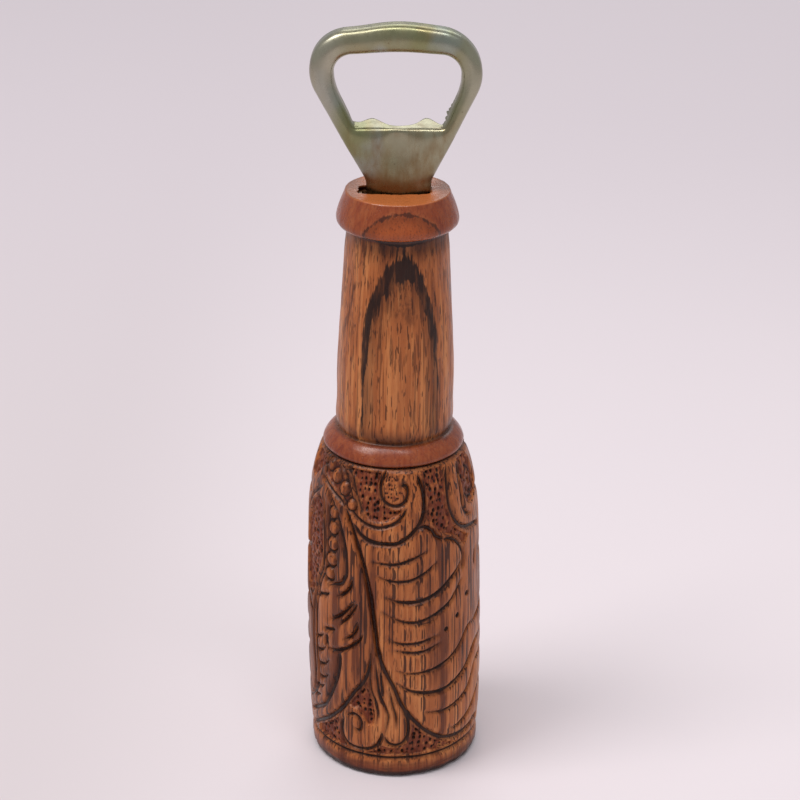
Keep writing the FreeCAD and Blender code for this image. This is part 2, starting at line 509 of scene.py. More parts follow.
@dataclass(frozen=True)
class VarnishedWood:
    """Oiled and varnished wood: upright layers that face the front, with fine dark pores.

    One dark layer stands layer_front millimetres before the axis, bends forward towards the top of
    the neck and stands straighter on the collar.  It draws the pointed arch on the neck and the arc
    on the collar.
    """

    name: str = "carved_wood"
    light: Colour = paint(202, 128, 74)
    middle: Colour = paint(170, 96, 50)
    deep: Colour = paint(106, 52, 26)
    red: Colour = paint(126, 46, 22)
    orange: Colour = paint(176, 84, 34)
    top: Colour = paint(196, 112, 60)
    pore: Colour = paint(44, 16, 8)
    char: Colour = paint(30, 10, 5)
    stain: Colour = paint(32, 10, 6)
    ground: Colour = paint(108, 44, 24)
    layer_front: float = -11.45
    layer_turn: float = -0.09
    body_layer_front: float = 17.9
    body_layer_turn: float = 0.06
    bend_foot: float = 120.0        # height at which the layers start to bend forward
    bend_rise: float = 22.0         # height over which they do
    bend_reach: float = 2.2
    bend_power: float = 1.8
    collar_lean: float = 0.34
    collar_foot: float = 146.0
    ring_top: float = 93.0
    ring_foot: float = 88.2

    def material(self) -> bpy.types.Material:
        """Build the material.

        Returns:
            The material, with the layers, the pores, the stain in the cuts and the gloss.
        """
        g = Graph(self.name)
        height = g.axis("Z")
        layer = self.layers(g, height)
        cloud = g.span(g.noise(g.stretch(1, 1, 0.16), 0.16, 3.0), 0.34, 0.66)
        pores = self.pores(g, height)
        turned = self.turned(g, height)
        ground = g.mark(Mark.GROUND)
        colour = self.tones(g, height, layer, cloud)
        kept = g.sum("MULTIPLY", g.span(height, 2.0, 6.5, 0.3, 1.0), g.span(turned, 0.0, 1.0, 0.86, 0.5))
        colour = g.blend(g.sum("MULTIPLY", pores, kept), colour, self.pore)
        colour = g.blend(g.sum("MULTIPLY", turned, 0.7), colour, self.red)
        colour = self.stain_neck(g, height, layer, turned, colour)
        # Stain and painted shade: the neck is darkened just above the shoulder ring and just under the
        # collar, where the joints hold stain and shade falls.
        stain_and_painted_shade = g.sum("MAXIMUM", g.sum("MULTIPLY", g.span(height, 98.0, 93.5), g.span(height, 92.6, 93.2)),
                      g.sum("MULTIPLY", g.span(height, 139.0, 146.0), g.span(height, 147.5, 146.6)))
        colour = g.blend(g.sum("MULTIPLY", stain_and_painted_shade, g.span(cloud, 0.0, 1.0, 0.75, 0.3)), colour, self.stain)
        colour = self.stain_and_shade_rim(g, height, colour)
        g.join(self.stain_and_shade_carving(g, ground, colour), g.shader.inputs["Base Color"])

        gloss = g.span(g.noise(g.stretch(1, 1, 0.3), 0.35, 3.0), 0.3, 0.7, 0.3, 0.46)
        gloss = g.sum("MULTIPLY_ADD", turned, -0.08, gloss)
        g.join(g.sum("ADD", gloss, g.span(ground, 0.0, 1.0, 0.0, 0.1)), g.shader.inputs["Roughness"])
        g.shader.inputs["Specular IOR Level"].default_value = 0.22
        g.join(g.span(turned, 0.0, 1.0, 0.1, 0.34), g.shader.inputs["Coat Weight"])
        g.shader.inputs["Coat Roughness"].default_value = 0.22
        fine = g.sum("MULTIPLY", g.noise(g.place, 0.9, 4.0), 0.8)
        g.bump(g.sum("MULTIPLY_ADD", pores, -0.7, fine), 0.25, 0.45)
        return g.material

    def layers(self, g: Graph, height: Socket) -> Socket:
        """Work out how far back a place lies across the layers.

        The layers stand upright, a little askew and swaying.  On the upper neck they bend with a
        power of the height, and on the collar they lean evenly.

        Args:
            g: the material's graph.
            height: the height of a place.

        Returns:
            The socket of the distance, in millimetres.
        """
        up = g.sum("MULTIPLY_ADD", height, 1.0 / self.bend_rise, -self.bend_foot / self.bend_rise, clamp=True)
        bend = g.sum("MULTIPLY", g.sum("POWER", up, self.bend_power), self.bend_reach)
        above = g.sum("MAXIMUM", g.sum("SUBTRACT", height, self.collar_foot + 1.0), 0.0)
        bend = g.sum("MULTIPLY_ADD", above, self.collar_lean, bend)
        lean = g.sum("SUBTRACT", bend, g.span(height, 145.0, 146.5, 0.0, 2.15))
        turn = g.sum("MULTIPLY_ADD", g.axis("X"), self.layer_turn, g.axis("Y"))
        sway = g.sum("MULTIPLY_ADD", g.noise(g.stretch(1, 1, 0.25), 0.07, 2.0), 1.2, -0.6)
        return g.sum("ADD", g.sum("ADD", turn, lean), sway)

    def tones(self, g: Graph, height: Socket, layer: Socket, cloud: Socket) -> Socket:
        """Return the colour of the bare wood.

        Its tone is the sum of rings along the layers, broad clouds and fine upright streaks.  It is
        lowered at one layer of the body, in smoky places and over the body's left, and raised low
        on the right and on the lower neck.

        Args:
            g: the material's graph.
            height: the height of a place.
            layer: how far back it lies across the layers.
            cloud: the broad clouds, 0 to 1.

        Returns:
            The colour's socket.
        """
        broad = g.nodes.new("ShaderNodeTexNoise")
        broad.noise_dimensions = "1D"
        broad.inputs["Scale"].default_value = 0.42
        broad.inputs["Detail"].default_value = 3.0
        g.join(layer, broad.inputs["W"])
        tone = g.sum("MULTIPLY_ADD", g.span(broad.outputs["Fac"], 0.3, 0.7), 0.2, 0.2)
        tone = g.sum("MULTIPLY_ADD", cloud, 0.24, tone)
        streaks = g.span(g.noise(g.stretch(1, 1, 0.03), 0.75, 3.0, 0.6), 0.34, 0.66)
        tone = g.sum("MULTIPLY_ADD", streaks, 0.36, tone)

        across = g.sum("MULTIPLY_ADD", g.axis("X"), self.body_layer_turn, g.axis("Y"))
        body_layer = g.sum("ABSOLUTE", g.sum("ADD", across, self.body_layer_front))
        shade = g.sum("MULTIPLY", g.span(body_layer, 0.3, 1.1, 0.28, 0.0), g.span(height, 76.0, 66.0))
        smoky = g.span(g.noise(g.stretch(1, 1, 0.4), 0.075, 2.0), 0.48, 0.64, 0.0, 0.14)
        left = g.sum("MULTIPLY", g.span(height, 92.0, 86.0), g.span(g.axis("X"), -4.0, -14.0, 0.07, 0.15))
        tone = g.sum("SUBTRACT", tone, g.sum("ADD", shade, g.sum("ADD", smoky, left)))
        low = g.sum("MULTIPLY", g.span(height, 38.0, 24.0, 0.0, 0.26), g.span(g.axis("X"), 4.0, 13.0))
        golden = g.sum("MULTIPLY", g.span(height, 130.0, 112.0, 0.0, 0.14), g.span(height, 95.0, 100.0))
        tone = g.sum("ADD", tone, g.sum("ADD", low, golden))
        colour = g.blend(g.span(tone, 0.15, 0.55), self.deep, self.middle)
        return g.blend(g.span(tone, 0.5, 0.95), colour, self.light)

    def pores(self, g: Graph, height: Socket) -> Socket:
        """Spread the pores: short ones mostly on the neck, and long ones mostly on the body.

        Args:
            g: the material's graph.
            height: the height of a place.

        Returns:
            The share of pore, 0 to 1.
        """
        short = g.span(g.noise(g.stretch(1, 1, 0.1), 2.4, 1.0, 0.5), 0.61, 0.66, 0.0, 0.85)
        long = g.span(g.noise(g.stretch(1, 1, 0.016), 1.7, 0.5, 0.4), 0.595, 0.64, 0.0, 1.0)
        return g.sum("MAXIMUM", g.sum("MULTIPLY", short, g.span(height, 95.0, 85.0, 1.0, 0.6)),
                     g.sum("MULTIPLY", long, g.span(height, 95.0, 85.0, 0.55, 1.0)))

    def turned(self, g: Graph, height: Socket) -> Socket:
        """Tell the collar and the shoulder ring, which are redder and glossier, from the rest.

        Args:
            g: the material's graph.
            height: the height of a place.

        Returns:
            1 on both and 0 elsewhere.
        """
        edge = 0.2
        ring = g.sum("MULTIPLY", g.span(height, self.ring_foot - edge, self.ring_foot + edge),
                     g.span(height, self.ring_top - edge, self.ring_top + edge, 1.0, 0.0))
        return g.sum("MAXIMUM", g.span(height, self.collar_foot - edge, self.collar_foot + edge), ring)

    def stain_neck(self, g: Graph, height: Socket, layer: Socket, turned: Socket, colour: Socket) -> Socket:
        """Return the colour with the dark layer's arch, its smudges, and the lighter top of the collar, which
        is partly painted light.

        The dark layer is black where its distance across the layers is within half its width, a
        width that grows up the neck.  Inside it the wood is browner on the neck and orange on the
        collar.

        Args:
            g: the material's graph.
            height: the height of a place.
            layer: how far back it lies across the layers.
            turned: 1 on the collar and the shoulder ring.
            colour: the colour so far.

        Returns:
            The colour's socket.
        """
        ragged = g.sum("MULTIPLY_ADD", g.noise(g.stretch(1, 1, 0.1), 1.0, 3.0, 0.6), 2.0, -1.0)
        forward = g.sum("SUBTRACT", self.layer_front, layer)
        inward = g.sum("ADD", forward, ragged)
        wide = g.sum("MULTIPLY", g.span(height, 100.0, 128.0, 0.14, 0.72),
                     g.span(height, self.collar_foot - 0.5, self.collar_foot + 0.5, 1.0, 0.4))
        beyond = g.sum("SUBTRACT", g.sum("ADD", g.sum("ABSOLUTE", forward), ragged), wide)
        worn = g.span(g.noise(g.stretch(1, 1, 0.12), 0.6, 3.0), 0.3, 0.5, 0.7, 0.97)
        arch = g.sum("MULTIPLY", g.span(beyond, -0.12, 0.16, 1.0, 0.0), worn)
        glow = g.sum("MULTIPLY", g.span(inward, 2.6, 0.4, 0.0, 0.5), g.span(inward, -0.1, 0.2))
        above_ring = g.span(height, self.ring_top, self.ring_top + 3.0)
        arch = g.sum("MULTIPLY", g.sum("MAXIMUM", arch, glow), above_ring)

        on_collar = g.span(height, self.collar_foot, self.collar_foot + 0.4, 0.0, 0.55)
        inner_arc = g.sum("MULTIPLY", g.span(inward, 0.0, 0.4), on_collar)
        colour = g.blend(inner_arc, colour, self.orange)
        specks = g.span(g.noise(g.stretch(1, 1, 0.7), 2.6, 1.0), 0.6, 0.68, 0.0, 0.7)
        colour = g.blend(g.sum("MULTIPLY", inner_arc, specks), colour, self.pore)
        # Partly painted light: the collar's top face is painted a lighter orange than its red side, partly
        # the wood's own tone, partly painted light on a face turned up to the lamps.
        colour = g.blend(g.sum("MULTIPLY", g.span(height, 155.6, 155.95), 0.75), colour, self.top)
        beside = g.span(g.sum("ABSOLUTE", g.axis("X")), 7.5, 11.5, 0.0, 0.45)
        colour = g.blend(g.sum("MULTIPLY", beside, g.span(height, 155.7, 155.95)), colour, self.stain)
        colour = g.blend(g.sum("MULTIPLY", arch, g.span(turned, 0.0, 1.0, 1.0, 0.75)), colour, self.char)
        smudge = g.span(g.noise(g.stretch(1, 1, 0.35), 0.3, 4.0, 0.65), 0.53, 0.66, 0.0, 0.75)
        upper = g.sum("MULTIPLY", g.span(height, 118.0, 134.0), g.span(height, 146.5, 145.5))
        return g.blend(g.sum("MULTIPLY", smudge, upper), colour, self.pore)

    def stain_and_shade_rim(self, g: Graph, height: Socket, colour: Socket) -> Socket:
        """Return the colour with the dark, patchy rim at the foot, and painted shade along its lower edge,
        where it is darkest.

        Args:
            g: the material's graph.
            height: the height of a place.
            colour: the colour so far.

        Returns:
            The colour's socket.
        """
        rim = g.span(height, 5.4, 2.4)
        patches = g.span(g.noise(g.stretch(0.3, 0.3, 1.4), 0.6, 3.0, 0.6), 0.42, 0.6)
        colour = g.blend(g.sum("MULTIPLY", rim, 0.75), colour, self.ground)
        patches = g.sum("MULTIPLY", g.sum("MULTIPLY_ADD", patches, 0.8, 0.2), g.sum("MULTIPLY", rim, 0.5))
        colour = g.blend(patches, colour, self.stain)
        # Painted shadow: below 2.4 mm the rounded lower edge is darkened almost to the stain, standing in for
        # the shade where the rim turns under towards the floor.
        return g.blend(g.span(height, 2.4, 1.3, 0.0, 0.9), colour, self.stain)

    def stain_and_shade_carving(self, g: Graph, ground: Socket, colour: Socket) -> Socket:
        """Return the colour with the dark floors, the painted shade beside the cuts, and the stain in them.

        Args:
            g: the material's graph.
            ground: the share of punched floor.
            colour: the colour so far.

        Returns:
            The colour's socket.
        """
        cut = g.mark(Mark.CUT)
        pit = g.mark(Mark.PIT)
        smear = g.noise(g.stretch(1, 1, 0.5), 0.9, 3.0)
        floor = g.sum("MULTIPLY_ADD", smear, 2.4, g.sum("SUBTRACT", ground, 1.2))
        colour = g.blend(g.span(floor, 0.45, 1.2, 0.0, 0.86), colour, self.ground)
        # Painted shade: a soft, patchy darkening beside each cut, standing in for the shade that falls next
        # to the grooves.
        painted_shade_beside_cuts = g.sum("ADD", smear, g.sum("SUBTRACT", cut, 0.5))
        colour = g.blend(g.span(painted_shade_beside_cuts, 1.2, 2.1, 0.0, 0.36), colour, self.stain)
        colour = g.blend(g.span(cut, CUT_REACH - 0.02, CUT_REACH + 0.3, 0.0, 0.9), colour, self.stain)
        return g.blend(g.span(pit, PIT_REACH - 0.12, PIT_REACH + 0.12, 0.0, 0.95), colour, self.stain)


@dataclass(frozen=True)
class PlatedSteel:
    """Satin nickel plating with pale green, blue and pink tints, tarnished brown near the wood; the loop's
    sides carry a painted reflection.
    """

    name: str = "satin_plating"
    plate: Colour = paint(152, 148, 124)
    green: Colour = paint(134, 134, 98)
    blue: Colour = paint(156, 166, 168)
    pink: Colour = paint(156, 138, 104)
    tarnish: Colour = paint(118, 88, 46)
    speck: Colour = paint(88, 66, 48)
    light: Colour = paint(176, 172, 156)
    shank_foot: float = 156.0

    def material(self) -> bpy.types.Material:
        """Build the material.

        Returns:
            The material, with its tints, tarnish, fine scratches and satin gloss.
        """
        g = Graph(self.name)
        height = g.axis("Z")
        greenish = g.span(g.noise(g.place, 0.045, 2.0), 0.42, 0.62)
        bluish = g.span(g.noise(g.stretch(1.4, 1, -1), 0.06, 2.0), 0.52, 0.68, 0.0, 0.5)
        pinkish = g.span(g.noise(g.stretch(-1, 1, 1.3), 0.09, 3.0), 0.56, 0.7, 0.0, 0.4)
        colour = g.blend(greenish, self.plate, self.green)
        colour = g.blend(bluish, colour, self.blue)
        colour = g.blend(pinkish, colour, self.pink)
        clouds = g.noise(g.stretch(1, 1, 0.45), 0.3, 4.0, 0.6)
        low = g.sum("MULTIPLY_ADD", clouds, 22.0, g.sum("SUBTRACT", height, 11.0))
        low = g.span(low, self.shank_foot + 14.0, self.shank_foot - 1.0, 0.0, 0.85)
        colour = g.blend(low, colour, self.tarnish)
        mottle = g.noise(g.stretch(1, 1, 0.3), 0.42, 4.0, 0.6)
        dull = g.span(height, 178.0, 168.0, 0.14, 0.42)
        colour = g.blend(g.sum("MULTIPLY", g.span(mottle, 0.42, 0.74), dull), colour, self.tarnish)
        # Painted reflection: the loop's sides, from 12 mm out from the middle, are painted lighter, standing
        # in for the bright floor that they reflect.
        side = g.span(g.sum("ABSOLUTE", g.axis("X")), 12.0, 18.0, 0.0, 0.6)
        colour = g.blend(side, colour, self.light)
        specks = g.span(g.noise(g.place, 1.3, 2.0), 0.72, 0.78, 0.0, 0.5)
        colour = g.blend(specks, colour, self.speck)
        g.join(colour, g.shader.inputs["Base Color"])
        g.shader.inputs["Metallic"].default_value = 1.0
        worn = g.noise(g.place, 0.5, 4.0, 0.6)
        g.join(g.span(worn, 0.3, 0.7, 0.24, 0.38), g.shader.inputs["Roughness"])
        scratches = g.noise(g.stretch(0.35, 1, 1.6), 2.2, 3.0, 0.6)
        g.bump(g.sum("ADD", g.sum("MULTIPLY", scratches, 0.5), worn), 0.06, 0.2)
        return g.material


@dataclass(frozen=True)
class SetGlue:
    """Hard amber glue, cloudy and slightly shiny."""

    name: str = "set_glue"
    clear: Colour = paint(94, 58, 34)
    cloudy: Colour = paint(148, 108, 72)

    def material(self) -> bpy.types.Material:
        """Build the material.

        Returns:
            The material.
        """
        g = Graph(self.name)
        clouds = g.noise(g.place, 0.7, 3.0)
        g.join(g.blend(g.span(clouds, 0.4, 0.62), self.clear, self.cloudy), g.shader.inputs["Base Color"])
        g.join(g.span(clouds, 0.3, 0.7, 0.25, 0.5), g.shader.inputs["Roughness"])
        g.bump(clouds, 0.4, 0.5)
        return g.material


# ---- the carved handle ----------------------------------------------------------------------------


@dataclass(frozen=True)
class Groove:
    """One gouged line: its points are degrees round from the front, and heights.

    slope is the width of the gentle fall towards the line on its left side, or on its right side
    where it is negative, and fall is how deep that goes.  taper and tail are the shares of the
    line's length over which its start and its end run out; a tail of nought is as long as the taper.
    """

    points: tuple[Point, ...]
    width: float = 1.1
    depth: float = 0.75
    slope: float = 0.0
    fall: float = 0.45
    taper: float = 0.12
    tail: float = 0.0


@dataclass(frozen=True)
class Ground:
    """One sunk and punched patch: its outline is degrees round from the front, and heights."""

    outline: tuple[Point, ...]
    depth: float = 0.9
    pitch: float = 1.6
    pit_radius: float = 0.38


@dataclass(frozen=True)
class Bead:
    """One rounded bead with a groove round it."""

    angle: float
    height: float
    radius: float


def grooves(rows: Sequence[Sequence[float]], **sizes: float) -> tuple[Groove, ...]:
    """Return grooves of the same section, each from a flat row of angle, height, angle, height."""
    return tuple(Groove(tuple(zip(row[::2], row[1::2])), **sizes) for row in rows)


LEAF_VEINS = (
    grooves([
        (-14, 63.8, -6, 63.3, 2, 63.2, 10, 64, 18, 65.3, 23, 66.5),
        (-11, 60, -5, 58.9, 4, 58.3, 14, 58.8, 22, 60.3, 30, 62.8),
        (-7, 49.8, 0, 48, 8, 46.7, 15, 46.3, 24, 47, 33, 48.5, 41, 50.3, 47, 53, 51, 55.3),
        (-3, 42, 3, 40.7, 12, 40.2, 20, 40.5, 30, 41.8),
        (1, 38.8, 8, 37.9, 17, 37.5, 25, 38.1, 32, 39.4),
        (2, 32.8, 8, 31.8, 18, 31.5, 27, 31.8, 37, 33, 45, 34.8, 51, 37, 57, 39.8, 61, 40.7, 66, 40.5),
        (21, 19.5, 28, 18.9, 36, 18.5, 44, 18.9, 52, 20, 60, 22, 65, 25, 68, 28),
        (40, 12.2, 47, 11.9, 55, 12.8, 62, 14, 70, 16.5, 76, 19),
    ], width=0.95, depth=0.65, slope=1.6, fall=0.22, taper=0.3)
    + grooves([
        (-5, 54, 3, 52.7, 12, 52.2, 20, 52.4, 30, 53.7, 40, 56.2, 48, 58.8, 52, 61),
        (1, 29.3, 5, 28, 10, 26.6, 18, 25.4, 27, 24.8, 37, 25, 46, 26.2, 55, 28.2, 61, 30.3, 66, 33, 72,
         34.2, 80, 34.5),
    ], width=1.3, depth=0.85, slope=1.8, fall=0.25, taper=0.25)
    + grooves([(14, 46.1, 22, 45.8, 30, 47), (69, 61, 68, 57)], width=0.6, depth=0.35, taper=0.35)
)
LEAF_EDGES = (
    grooves([
        (16, 72.5, 22, 73, 27, 71.8, 30, 70, 36, 68.5),
        (36, 68.5, 43, 67.8, 49, 66, 53, 63, 54, 60.5, 52, 58),
    ], width=1.1, depth=0.9, taper=0.06)
    + grooves([
        (-11.5, 41, -10, 38, -7, 33.5, -3, 30, 1, 26.5, 4, 23, 9, 19.5, 14, 17, 20, 14.3, 27, 12, 33, 10.5,
         40, 9.5, 50, 8.8, 60, 8.8, 70, 9.5, 82, 9.0),
    ], width=1.5, depth=0.95, taper=0.04)
)
CRESCENT = grooves([
    (-28, 73.5, -22, 70.5, -15, 69.2, -5, 68.8, 3, 69, 10, 70.5, 16, 72.5, 21, 75.5, 23, 79, 22, 83,
     19, 86.5),
], width=1.35, depth=0.95, slope=1.6, fall=0.25, taper=0.05) + grooves([
    (10, 78.5, 8, 77, 4, 75.2, -3, 73.8, -10, 73.2, -18, 73.8, -25, 75.2, -32, 77.5, -40, 80),
], width=1.0, depth=0.8, taper=0.06) + grooves([
    (-5, 88, -9, 84, -7, 80.5, 0, 79, 7, 79.5, 11, 82, 10, 84, 5, 84.2),
], width=1.15, depth=0.9, taper=0.08)
STEM = grooves([
    (-35, 77, -29, 72, -24, 67, -20, 62, -17, 57, -14, 50, -12, 44, -10.5, 38, -9, 35),
], width=1.5, depth=1.15, slope=-3.0, fall=0.5, taper=0.06) + grooves([
    (-52, 79.5, -45, 76, -39, 72, -35, 67.5, -33, 62, -33.5, 58, -37, 55.5, -43, 54.5, -48, 53.5),
], width=1.2, depth=0.85, taper=0.1) + grooves([
    (-62, 82.5, -55, 81, -47, 79.6, -40, 78.4, -35, 77),
], width=1.1, depth=0.8, taper=0.15)
FEATHERS = grooves([
    (-49, 72.3, -46, 72, -42.5, 73.6),
    (-48.5, 68.1, -45, 67.8, -41, 69.6),
    (-49, 63.7, -45, 63.3, -40.5, 65.3),
    (-50, 59.2, -46.5, 58.8, -41, 60.6),
    (-51, 55.2, -48, 54.9, -42, 56.4),
], width=1.2, depth=1.1, taper=0.1, tail=0.45) + grooves([
    (-63, 48, -57, 49.5, -50, 50.5, -47, 51.5),
    (-40, 51.5, -34, 53, -30, 55, -28, 58),
    (-46, 44, -38, 46, -31, 49, -26, 51.5),
    (-38, 43.5, -32, 46, -27, 49, -24, 51),
    (-53, 40.2, -47, 40.7, -42, 41.5),
    (-35, 39.5, -29, 41, -25, 43.5, -24, 46),
    (-49, 35.2, -42, 35.3, -35, 36.5, -28, 38.5, -22, 41, -20, 43),
    (-50, 39, -51, 37, -49, 35.3),
], width=1.05, depth=0.8, slope=2.0, fall=0.4, taper=0.25)
SCALLOPS = grooves([
    (-64, 36, -58, 37, -53, 38.5),
    (-63, 32.3, -57, 33, -51, 35),
    (-62, 28.5, -55, 29, -48, 31.5),
    (-62, 24.7, -55, 25, -49, 27),
    (-66, 21, -60, 21.3, -54, 23),
    (-70, 17.5, -64, 18, -60, 19),
], width=0.95, depth=0.8, slope=1.5, fall=0.35, taper=0.05, tail=0.7)
LEFT_RIDGE = grooves([
    (-56, 77, -53, 71, -53, 62, -54.5, 57.5, -59, 54, -62.5, 50, -66, 44, -66.7, 38, -66.5, 31, -65.8, 26,
     -68, 21.5, -73, 17, -84, 13.5),
    (-50.5, 76, -48.8, 70, -48.8, 62.5, -50, 58, -55, 54.8, -58.5, 51, -61.3, 45, -62, 39, -61.8, 33,
     -60.8, 27, -62.5, 22.5, -67, 18.8, -78, 16),
], width=0.9, depth=0.8, taper=0.05) + grooves([
    (-60, 80, -75, 75, -84, 68, -86, 60, -84, 52, -76, 46, -66, 42),
], width=1.0, depth=0.8, taper=0.08)
LOWER_LEAF = grooves([
    (-38, 35.5, -39, 32, -41, 28, -45, 24, -50, 20, -56, 16.5, -65, 14, -80, 10.5),
    (-15, 36, -17, 32, -21, 28, -27, 25, -32, 22, -37, 19, -44, 16, -52, 13.2, -60, 11, -70, 8.5, -78, 6.5),
], width=1.35, depth=0.95, taper=0.06)
ROOTS = grooves([
    (-14, 40, -15.5, 34, -16, 29, -15, 26, -12, 22.5, -11, 19, -12, 16.5),
    (-12, 36, -11, 30, -9.5, 25, -6, 21.5, -4, 19, -5, 15.5, -6.5, 13),
    (-9, 33, -8, 28, -7, 24),
    (-3, 27, -1, 22, 1, 19, 1.5, 15.5),
], width=0.85, depth=0.7, taper=0.25) + grooves([
    (-7, 13, -4, 10.5, 1, 9.9, 6, 10.8, 9, 13, 9.5, 16, 7, 20, 4, 23),
    (-36, 16, -38.5, 13.5, -38, 10.5, -34, 8.3, -27, 7.6, -20, 7.8, -13, 9.2, -9, 11.5, -8, 14),
    (-33, 17.2, -28, 18, -24, 17, -23, 15, -25, 13.2, -27.5, 14),
], width=1.05, depth=0.85, taper=0.1)
RIGHT_SCROLL = grooves([
    (46, 87, 43.5, 81, 44, 76, 47, 73, 52, 70.5, 60, 68.8, 70, 68, 80, 67),
], width=1.3, depth=0.95, taper=0.05) + grooves([
    (58, 86, 56.8, 80, 58, 74, 61, 72.5, 66, 71.8),
    (61, 79, 66, 76.2, 73, 76, 78, 78.5, 78, 82, 73, 83.6, 69, 82),
], width=1.05, depth=0.85, taper=0.1)
SHOULDER_STEMS = grooves([
    (-46, 87.4, -38.5, 85.5, -33.5, 82.8, -29.5, 79.5, -25, 76.2),
    (-41, 87.6, -33.5, 85.5, -28.5, 82.3, -24.5, 79, -20.5, 76),
], width=0.75, depth=0.7, taper=0.12)
GROUNDS = (
    Ground(((-38, 87.3), (-31.5, 84.8), (-27, 81), (-22.5, 77.2), (-18, 75), (-10, 74.4), (-3, 75),
            (4, 76.6), (8, 78.2), (2, 77.9), (-5, 78.7), (-9.5, 81), (-11, 84.5), (-8.5, 87.4)), depth=1.0),
    Ground(((21.5, 87.4), (25, 83), (25.5, 79), (23.5, 75.2), (28, 73.3), (31.5, 71.2), (36.5, 69.7),
            (43, 69), (49.5, 67.3), (55, 64.6), (60, 66.8), (51, 69.3), (45.5, 72), (42.2, 76), (41.8, 81),
            (43.6, 87.4)), depth=1.0),
    Ground(((-57.5, 76), (-55, 70), (-54.6, 62), (-56.5, 58), (-61, 54.6), (-64.5, 50.5), (-68, 47),
            (-76, 49), (-82, 55), (-83, 62), (-80, 69), (-72, 74.5), (-63, 77.5))),
    Ground(((-64, 6.7), (-64, 9), (-52, 12), (-44, 14.8), (-39, 17), (-40.5, 13.5), (-40, 10.2), (-35, 7.4),
            (-28, 6.7))),
    Ground(((-33, 20.4), (-27, 23.6), (-21.5, 26.6), (-18, 30), (-17, 26.2), (-13.8, 22.5), (-12.8, 19),
            (-13.8, 16), (-18, 15.2), (-21, 17.6), (-25, 19.6), (-29, 19.8)), depth=1.15),
    Ground(((52, 6.7), (40, 8.3), (33, 9.4), (27, 11), (20, 13.2), (14, 15.6), (11.2, 17.4), (11.3, 13.4),
            (8.5, 10.6), (3, 9), (-4, 9.2), (-8, 9.8), (-13, 8), (-22, 6.7))),
    Ground(((60, 87.3), (59, 82), (60, 77.5), (63, 74.6), (70, 74.2), (79, 75.5), (83, 80), (80, 85),
            (74, 87.3)), depth=0.8),
    Ground(((-61, 87.3), (-48, 87.3), (-41, 85), (-35.5, 82.3), (-31, 79.2), (-28, 77), (-34, 77.9),
            (-42, 79.6), (-50, 81.2), (-60, 83.4)), depth=0.85, pit_radius=0.0),
    Ground(((-88, 87.3), (-84, 80.5), (-76, 80), (-66, 83.8), (-62, 87.3)), depth=0.8),
)
DISC_GROUND = Ground(((-6.5, 85.6), (-7, 82), (-4, 80), (0.5, 79.9), (5.5, 80.6), (8.8, 82.6), (4, 83.3),
                      (2.5, 85), (6.5, 85.8), (3, 87), (-3, 87)), pitch=1.0, pit_radius=0.2)
BEADS = (Bead(-56, 86, 1.5), Bead(-47.5, 84, 1.8), Bead(-38, 81.6, 1.7), Bead(-30.3, 78.1, 1.35),
         Bead(-64.5, 86.6, 1.3))
LOBES = (Bead(-45.2, 74.4, 1.45), Bead(-44.8, 70.2, 1.6), Bead(-45, 65.8, 1.7), Bead(-46, 61.3, 1.7),
         Bead(-47.5, 57.1, 1.55))
SIDE_NOTCHES = grooves([
    (80, 76.3, 90, 76, 100, 75),
    (78, 58, 90, 58.6, 101, 60),
    (65, 40.5, 79, 42, 90, 44.5, 101, 45),
    (80, 34.5, 88, 35.5, 98, 38),
    (68, 28, 80, 28.6, 90, 29, 100, 31),
    (78, 19.3, 90, 20, 100, 19),
], width=1.2, depth=1.0, taper=0.15)
DRILLED = (Bead(57, 50.3, 0.75), Bead(47, 45.5, 0.7), Bead(37, 42.8, 0.7))


class HandleLine:
    """The handle's middle line, which hand turning left a little off straight."""

    HEIGHTS = (0, 6, 20, 35, 45, 60, 75, 88, 92, 100, 150)
    SHIFTS = (0.4, 0.4, 0.3, 0.0, -0.15, -0.3, -0.5, -0.58, -0.45, -0.25, 0.0)

    @classmethod
    def points_at(cls, radius: np.ndarray, angle: np.ndarray, height: np.ndarray) -> np.ndarray:
        """Return the points at a radius round the middle line, the angle counted from the front.

        Args:
            radius: distances from the line; below nought they lie on its other side.
            angle: angles in radians.
            height: heights in millimetres.

        Returns:
            Points, with x, y and z along the last axis.
        """
        shift = np.interp(height, cls.HEIGHTS, cls.SHIFTS)
        return np.stack([radius * np.sin(angle) + shift, -radius * np.cos(angle), height], axis=-1)


